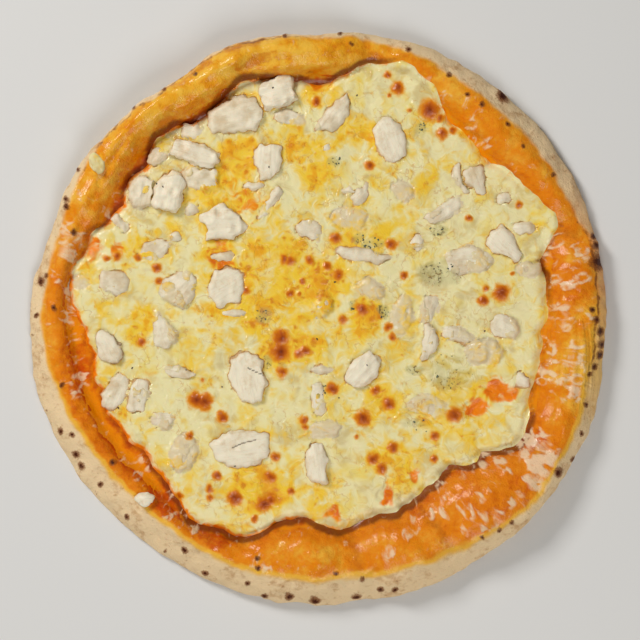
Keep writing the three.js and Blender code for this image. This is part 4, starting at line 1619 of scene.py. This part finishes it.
    def round_chicken(
        self, points: np.ndarray, slices: list[tuple[Slice, BVHTree, np.ndarray]]
    ) -> tuple[np.ndarray, np.ndarray]:
        """Draws the cheese up against the chicken, and over it where it is veiled.

        Args:
            points: The sheet's vertices, whose heights are changed.
            slices: Each slice's look, search tree and box.

        Returns:
            How close each vertex is to a slice's side, and how far it veils one.
        """
        juice_and_shade = np.zeros(len(points))
        veil = np.zeros(len(points))
        patches = rough_noise(points, 4.5, 61)
        for look, tree, box in slices:
            if look.node == "chicken_on_rim":
                continue
            low, high = box[:, :2] + [[-self.reach], [self.reach]]
            places = np.flatnonzero(np.all((points[:, :2] > low) & (points[:, :2] < high), axis=1))
            tops = heights_on(tree, points[places], -1.0)
            lined = 1.0 - 0.5 * look.cover.value
            covered = eased(look.cover.value + self.patchiness * patches, 0.45, 0.75)
            for i, top in zip(places, tops):
                spot, _, _, away = tree.find_nearest(Vector(points[i] * MM))
                north = (points[i, 1] * MM - spot.y) / max(away, 1e-6)
                away /= MM
                if top > points[i, 2] - self.reveal:
                    wrapped = covered[i]
                    rise = top + self.veil_height * wrapped - self.veil_sink
                    if wrapped > 0.0:
                        points[i, 2] += (rise - points[i, 2]) * wrapped
                        veil[i] = max(veil[i], wrapped)
                    else:
                        points[i, 2] = min(points[i, 2], top - self.below)
                        juice_and_shade[i] = max(juice_and_shade[i], 0.8 * lined)
                elif away < self.reach:
                    # Painted shade: the line is darker on the north side of a slice.
                    shaded = 0.55 + 0.45 * max(north, 0.0)
                    juice_and_shade[i] = max(juice_and_shade[i], lined * shaded * (1.0 - away / self.line))
                    points[i, 2] += self.lap * (1.0 - away / self.reach) ** 2
        return np.clip(juice_and_shade, 0.0, 1.0), veil

    def mark(
        self, mesh: bpy.types.Mesh, points: np.ndarray, inside: np.ndarray, juice_and_shade: np.ndarray,
        veil: np.ndarray,
    ) -> None:
        """Stores where the sheet is golden, toasted, sauced or blue, for the material.

        Args:
            mesh: The sheet's mesh.
            points: Its vertices.
            inside: Each one's distance from the sheet's edge.
            juice_and_shade: How close each one is to a slice's side.
            veil: How far each one veils a slice.
        """
        golden = shares(points, self.golden) - 0.5 * shares(points, self.cream) + 0.15
        sauced = around(angles_of(points), self.edge_sauce) * (1.0 - eased(inside, 0.3, 4.0))
        sauced = np.maximum(sauced, shares(points, self.sauced))
        store(mesh, "golden", golden)
        store(mesh, "toast", cones(points, self.blisters, 1.9, 3.5))
        store(mesh, "sauced", sauced)
        store(mesh, "mould", shares(points, self.mould + self.faint_mould))
        store(mesh, "juice_and_shade", juice_and_shade)
        store(mesh, "veil", 0.85 * veil)


# ---- Small things ----------------------------------------------------------------------------------------


@dataclass
class Flakes:
    """Many small flakes scattered on the topping and joined as one piece."""

    name: str
    slot: str
    finish: DryFlake
    spots: tuple[Spot, ...] = ()
    # Areas with how many flakes lie in each.
    clusters: tuple[tuple[Zone, int], ...] = ()
    smallest: float = 0.4
    largest: float = 0.9
    flatness: float = 0.45

    def build(self, surfaces: list[BVHTree], draw: random.Random) -> bpy.types.Object:
        """Models a flake at every place and joins them.

        Args:
            surfaces: The search trees of what the flakes lie on.
            draw: The seeded source of random numbers.

        Returns:
            The joined flakes.
        """
        places = [(s.column, s.row, s.radius) for s in self.spots]
        for zone, count in self.clusters:
            for _ in range(count):
                column = draw.triangular(zone.left, zone.right)
                row = draw.triangular(zone.top, zone.bottom)
                places.append((column, row, draw.uniform(self.smallest, self.largest)))
        pieces = [self.flake(column, row, radius, surfaces, draw) for column, row, radius in places]
        flakes = joined(pieces, self.name)
        finish_piece(flakes, self.finish.material(), self.slot)
        return flakes

    def flake(
        self, column: float, row: float, radius: float, surfaces: list[BVHTree], draw: random.Random
    ) -> bpy.types.Object:
        """Models one uneven flake where it lies.

        Args:
            column: The photograph's column of its middle.
            row: The photograph's row of its middle.
            radius: Its half width in millimetres.
            surfaces: The search trees of what it lies on.
            draw: The seeded source of random numbers.

        Returns:
            The flake's object.
        """
        x, y = on_plan(column, row)
        spot = np.array([[x, y, 0.0]])
        height = max(heights_on(surface, spot, 0.0)[0] for surface in surfaces)
        bpy.ops.object.select_all(action="DESELECT")
        bpy.ops.mesh.primitive_ico_sphere_add(subdivisions=1, radius=1.0)
        flake = bpy.context.object
        points = points_of(flake.data) * MM
        stretch = np.array([draw.uniform(0.7, 1.5), draw.uniform(0.6, 1.0), self.flatness])
        points *= stretch * radius
        points *= np.array([[draw.uniform(0.75, 1.2)] for _ in points])
        turn = draw.uniform(0.0, math.tau)
        turned = points.copy()
        turned[:, 0] = points[:, 0] * math.cos(turn) - points[:, 1] * math.sin(turn)
        turned[:, 1] = points[:, 0] * math.sin(turn) + points[:, 1] * math.cos(turn)
        place_points(flake.data, turned + [x, y, height + 0.1 * radius])
        return flake


@dataclass
class CheeseDab:
    """The dab of cheese that melted onto the top of the rim."""

    voxel: float = 0.7
    lump_height: float = 0.5
    lump_size: float = 4.0
    # The share of each mark all over it.
    marks: tuple = (
        ("toast", 0.0), ("mould", 0.0), ("juice_and_shade", 0.0), ("golden", 0.0), ("sauced", 0.1), ("veil", 0.35),
    )

    def build(self, material: bpy.types.Material) -> bpy.types.Object:
        """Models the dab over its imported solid.

        Args:
            material: The melted cheese's material.

        Returns:
            The finished dab.
        """
        dab = merged_copy("cheese_dab", "melted_dab")
        apply_modifier(dab, "REMESH", mode="VOXEL", voxel_size=self.voxel * MM)
        apply_modifier(dab, "SMOOTH", factor=0.5, iterations=8)
        points = points_of(dab.data)
        lumps = self.lump_height * rough_noise(points, self.lump_size, 71)
        points += normals_of(dab.data) * lumps[:, None]
        place_points(dab.data, points)
        for name, share in self.marks:
            store(dab.data, name, np.full(len(points), share))
        finish_piece(dab, material, "cheese", "cheese_dab")
        return dab


# ---- The studio ------------------------------------------------------------------------------------------


@dataclass
class Studio:
    """A pale floor, soft light from the upper left, and a camera that looks straight down."""

    # Metres, but for the camera's sensor, which is in millimetres.
    floor_size: float = 6.0
    floor_drop: float = 0.2 * MM
    camera_height: float = 2.4
    middle_height: float = 0.012
    sensor: float = 36.0

    def build(self) -> None:
        """Sets up the floor, the lights and the camera."""
        scene = bpy.context.scene
        scene.view_settings.view_transform = "Standard"
        bpy.ops.object.select_all(action="DESELECT")
        bpy.ops.mesh.primitive_plane_add(size=self.floor_size, location=(0.0, 0.0, -self.floor_drop))
        floor = bpy.context.object
        floor.name = "floor"
        paper = bpy.data.materials.new("pale_paper")
        paper.use_nodes = True
        shader = paper.node_tree.nodes["Principled BSDF"]
        shader.inputs["Base Color"].default_value = linear("#dedcd8")
        shader.inputs["Roughness"].default_value = 0.7
        floor.data.materials.append(paper)
        self.light("key", (-1.0, 1.0, 1.2), 0.5, 21.0)
        self.light("fill", (0.35, -1.2, 1.4), 1.0, 15.0)
        world = bpy.data.worlds.new("studio")
        world.use_nodes = True
        background = world.node_tree.nodes["Background"]
        background.inputs["Color"].default_value = linear("#f4f3f0")
        background.inputs["Strength"].default_value = 0.2
        scene.world = world
        shown = PHOTO_PIXELS * MM_PER_PIXEL * MM
        x, y = on_plan(PHOTO_PIXELS / 2, PHOTO_PIXELS / 2)
        bpy.ops.object.camera_add(location=(x * MM, y * MM, self.camera_height), rotation=(0.0, 0.0, 0.0))
        camera = bpy.context.object
        camera.data.sensor_width = self.sensor
        camera.data.lens = self.sensor * (self.camera_height - self.middle_height) / shown
        scene.camera = camera

    def light(self, name: str, place: tuple[float, float, float], size: float, power: float) -> None:
        """Adds a square soft light that points at the pizza.

        Args:
            name: The light's name.
            place: Where it hangs, in metres.
            size: The length of its side, in metres.
            power: Its power, in watts.
        """
        bpy.ops.object.light_add(type="AREA", location=place)
        lamp = bpy.context.object
        lamp.name = name
        lamp.data.size = size
        lamp.data.energy = power
        lamp.rotation_euler = (-Vector(place)).to_track_quat("-Z", "Y").to_euler()


def main() -> None:
    """Builds the pizza piece by piece, then the studio."""
    logging.basicConfig(level=logging.INFO, format="%(name)s: %(message)s")
    rim = Crust()
    crust, profile = rim.build()
    log.info("crust: %d faces", len(crust.data.polygons))
    crust_tree = tree_of(crust)
    pool = SaucePool().build(rim, crust_tree, profile)
    log.info("sauce: %d faces", len(pool.data.polygons))
    chicken, slices = ChickenSlices().build(crust_tree)
    log.info("chicken: %d faces", len(chicken.data.polygons))
    cheese = CheeseSheet().build((crust_tree, tree_of(pool)), slices)
    log.info("cheese: %d faces", len(cheese.data.polygons))
    dab = CheeseDab().build(cheese.data.materials[0])
    log.info("dab: %d faces", len(dab.data.polygons))
    surfaces = [tree_of(cheese), tree_of(chicken)]
    pepper = Flakes(
        "ground_pepper",
        "cheese",
        DryFlake("black_pepper", "#2a2018", "#5a4430"),
        spots=each(
            Spot, (357, 95, 0.8), (273, 88, 0.7), (269, 167, 0.6), (335, 282, 0.7), (317, 339, 0.6),
            (339, 398, 0.6), (485, 331, 0.6), (367, 365, 0.6), (186, 370, 0.6), (118, 408, 0.6),
            (132, 368, 0.6), (235, 466, 0.6), (222, 387, 0.7), (157, 184, 0.5), (163, 187, 0.5),
        ),
    ).build(surfaces, random.Random(7))
    log.info("pepper: %d faces", len(pepper.data.polygons))
    crumbs = Flakes(
        "mould_crumbs",
        "cheese",
        DryFlake("blue_mould", "#2c3a30", "#6a7458"),
        clusters=tuple((zone, 5) for zone in CheeseSheet.mould),
        smallest=0.3,
        largest=0.8,
    ).build(surfaces, random.Random(9))
    log.info("mould crumbs: %d faces", len(crumbs.data.polygons))
    Studio().build()


if __name__ == "__main__":
    main()
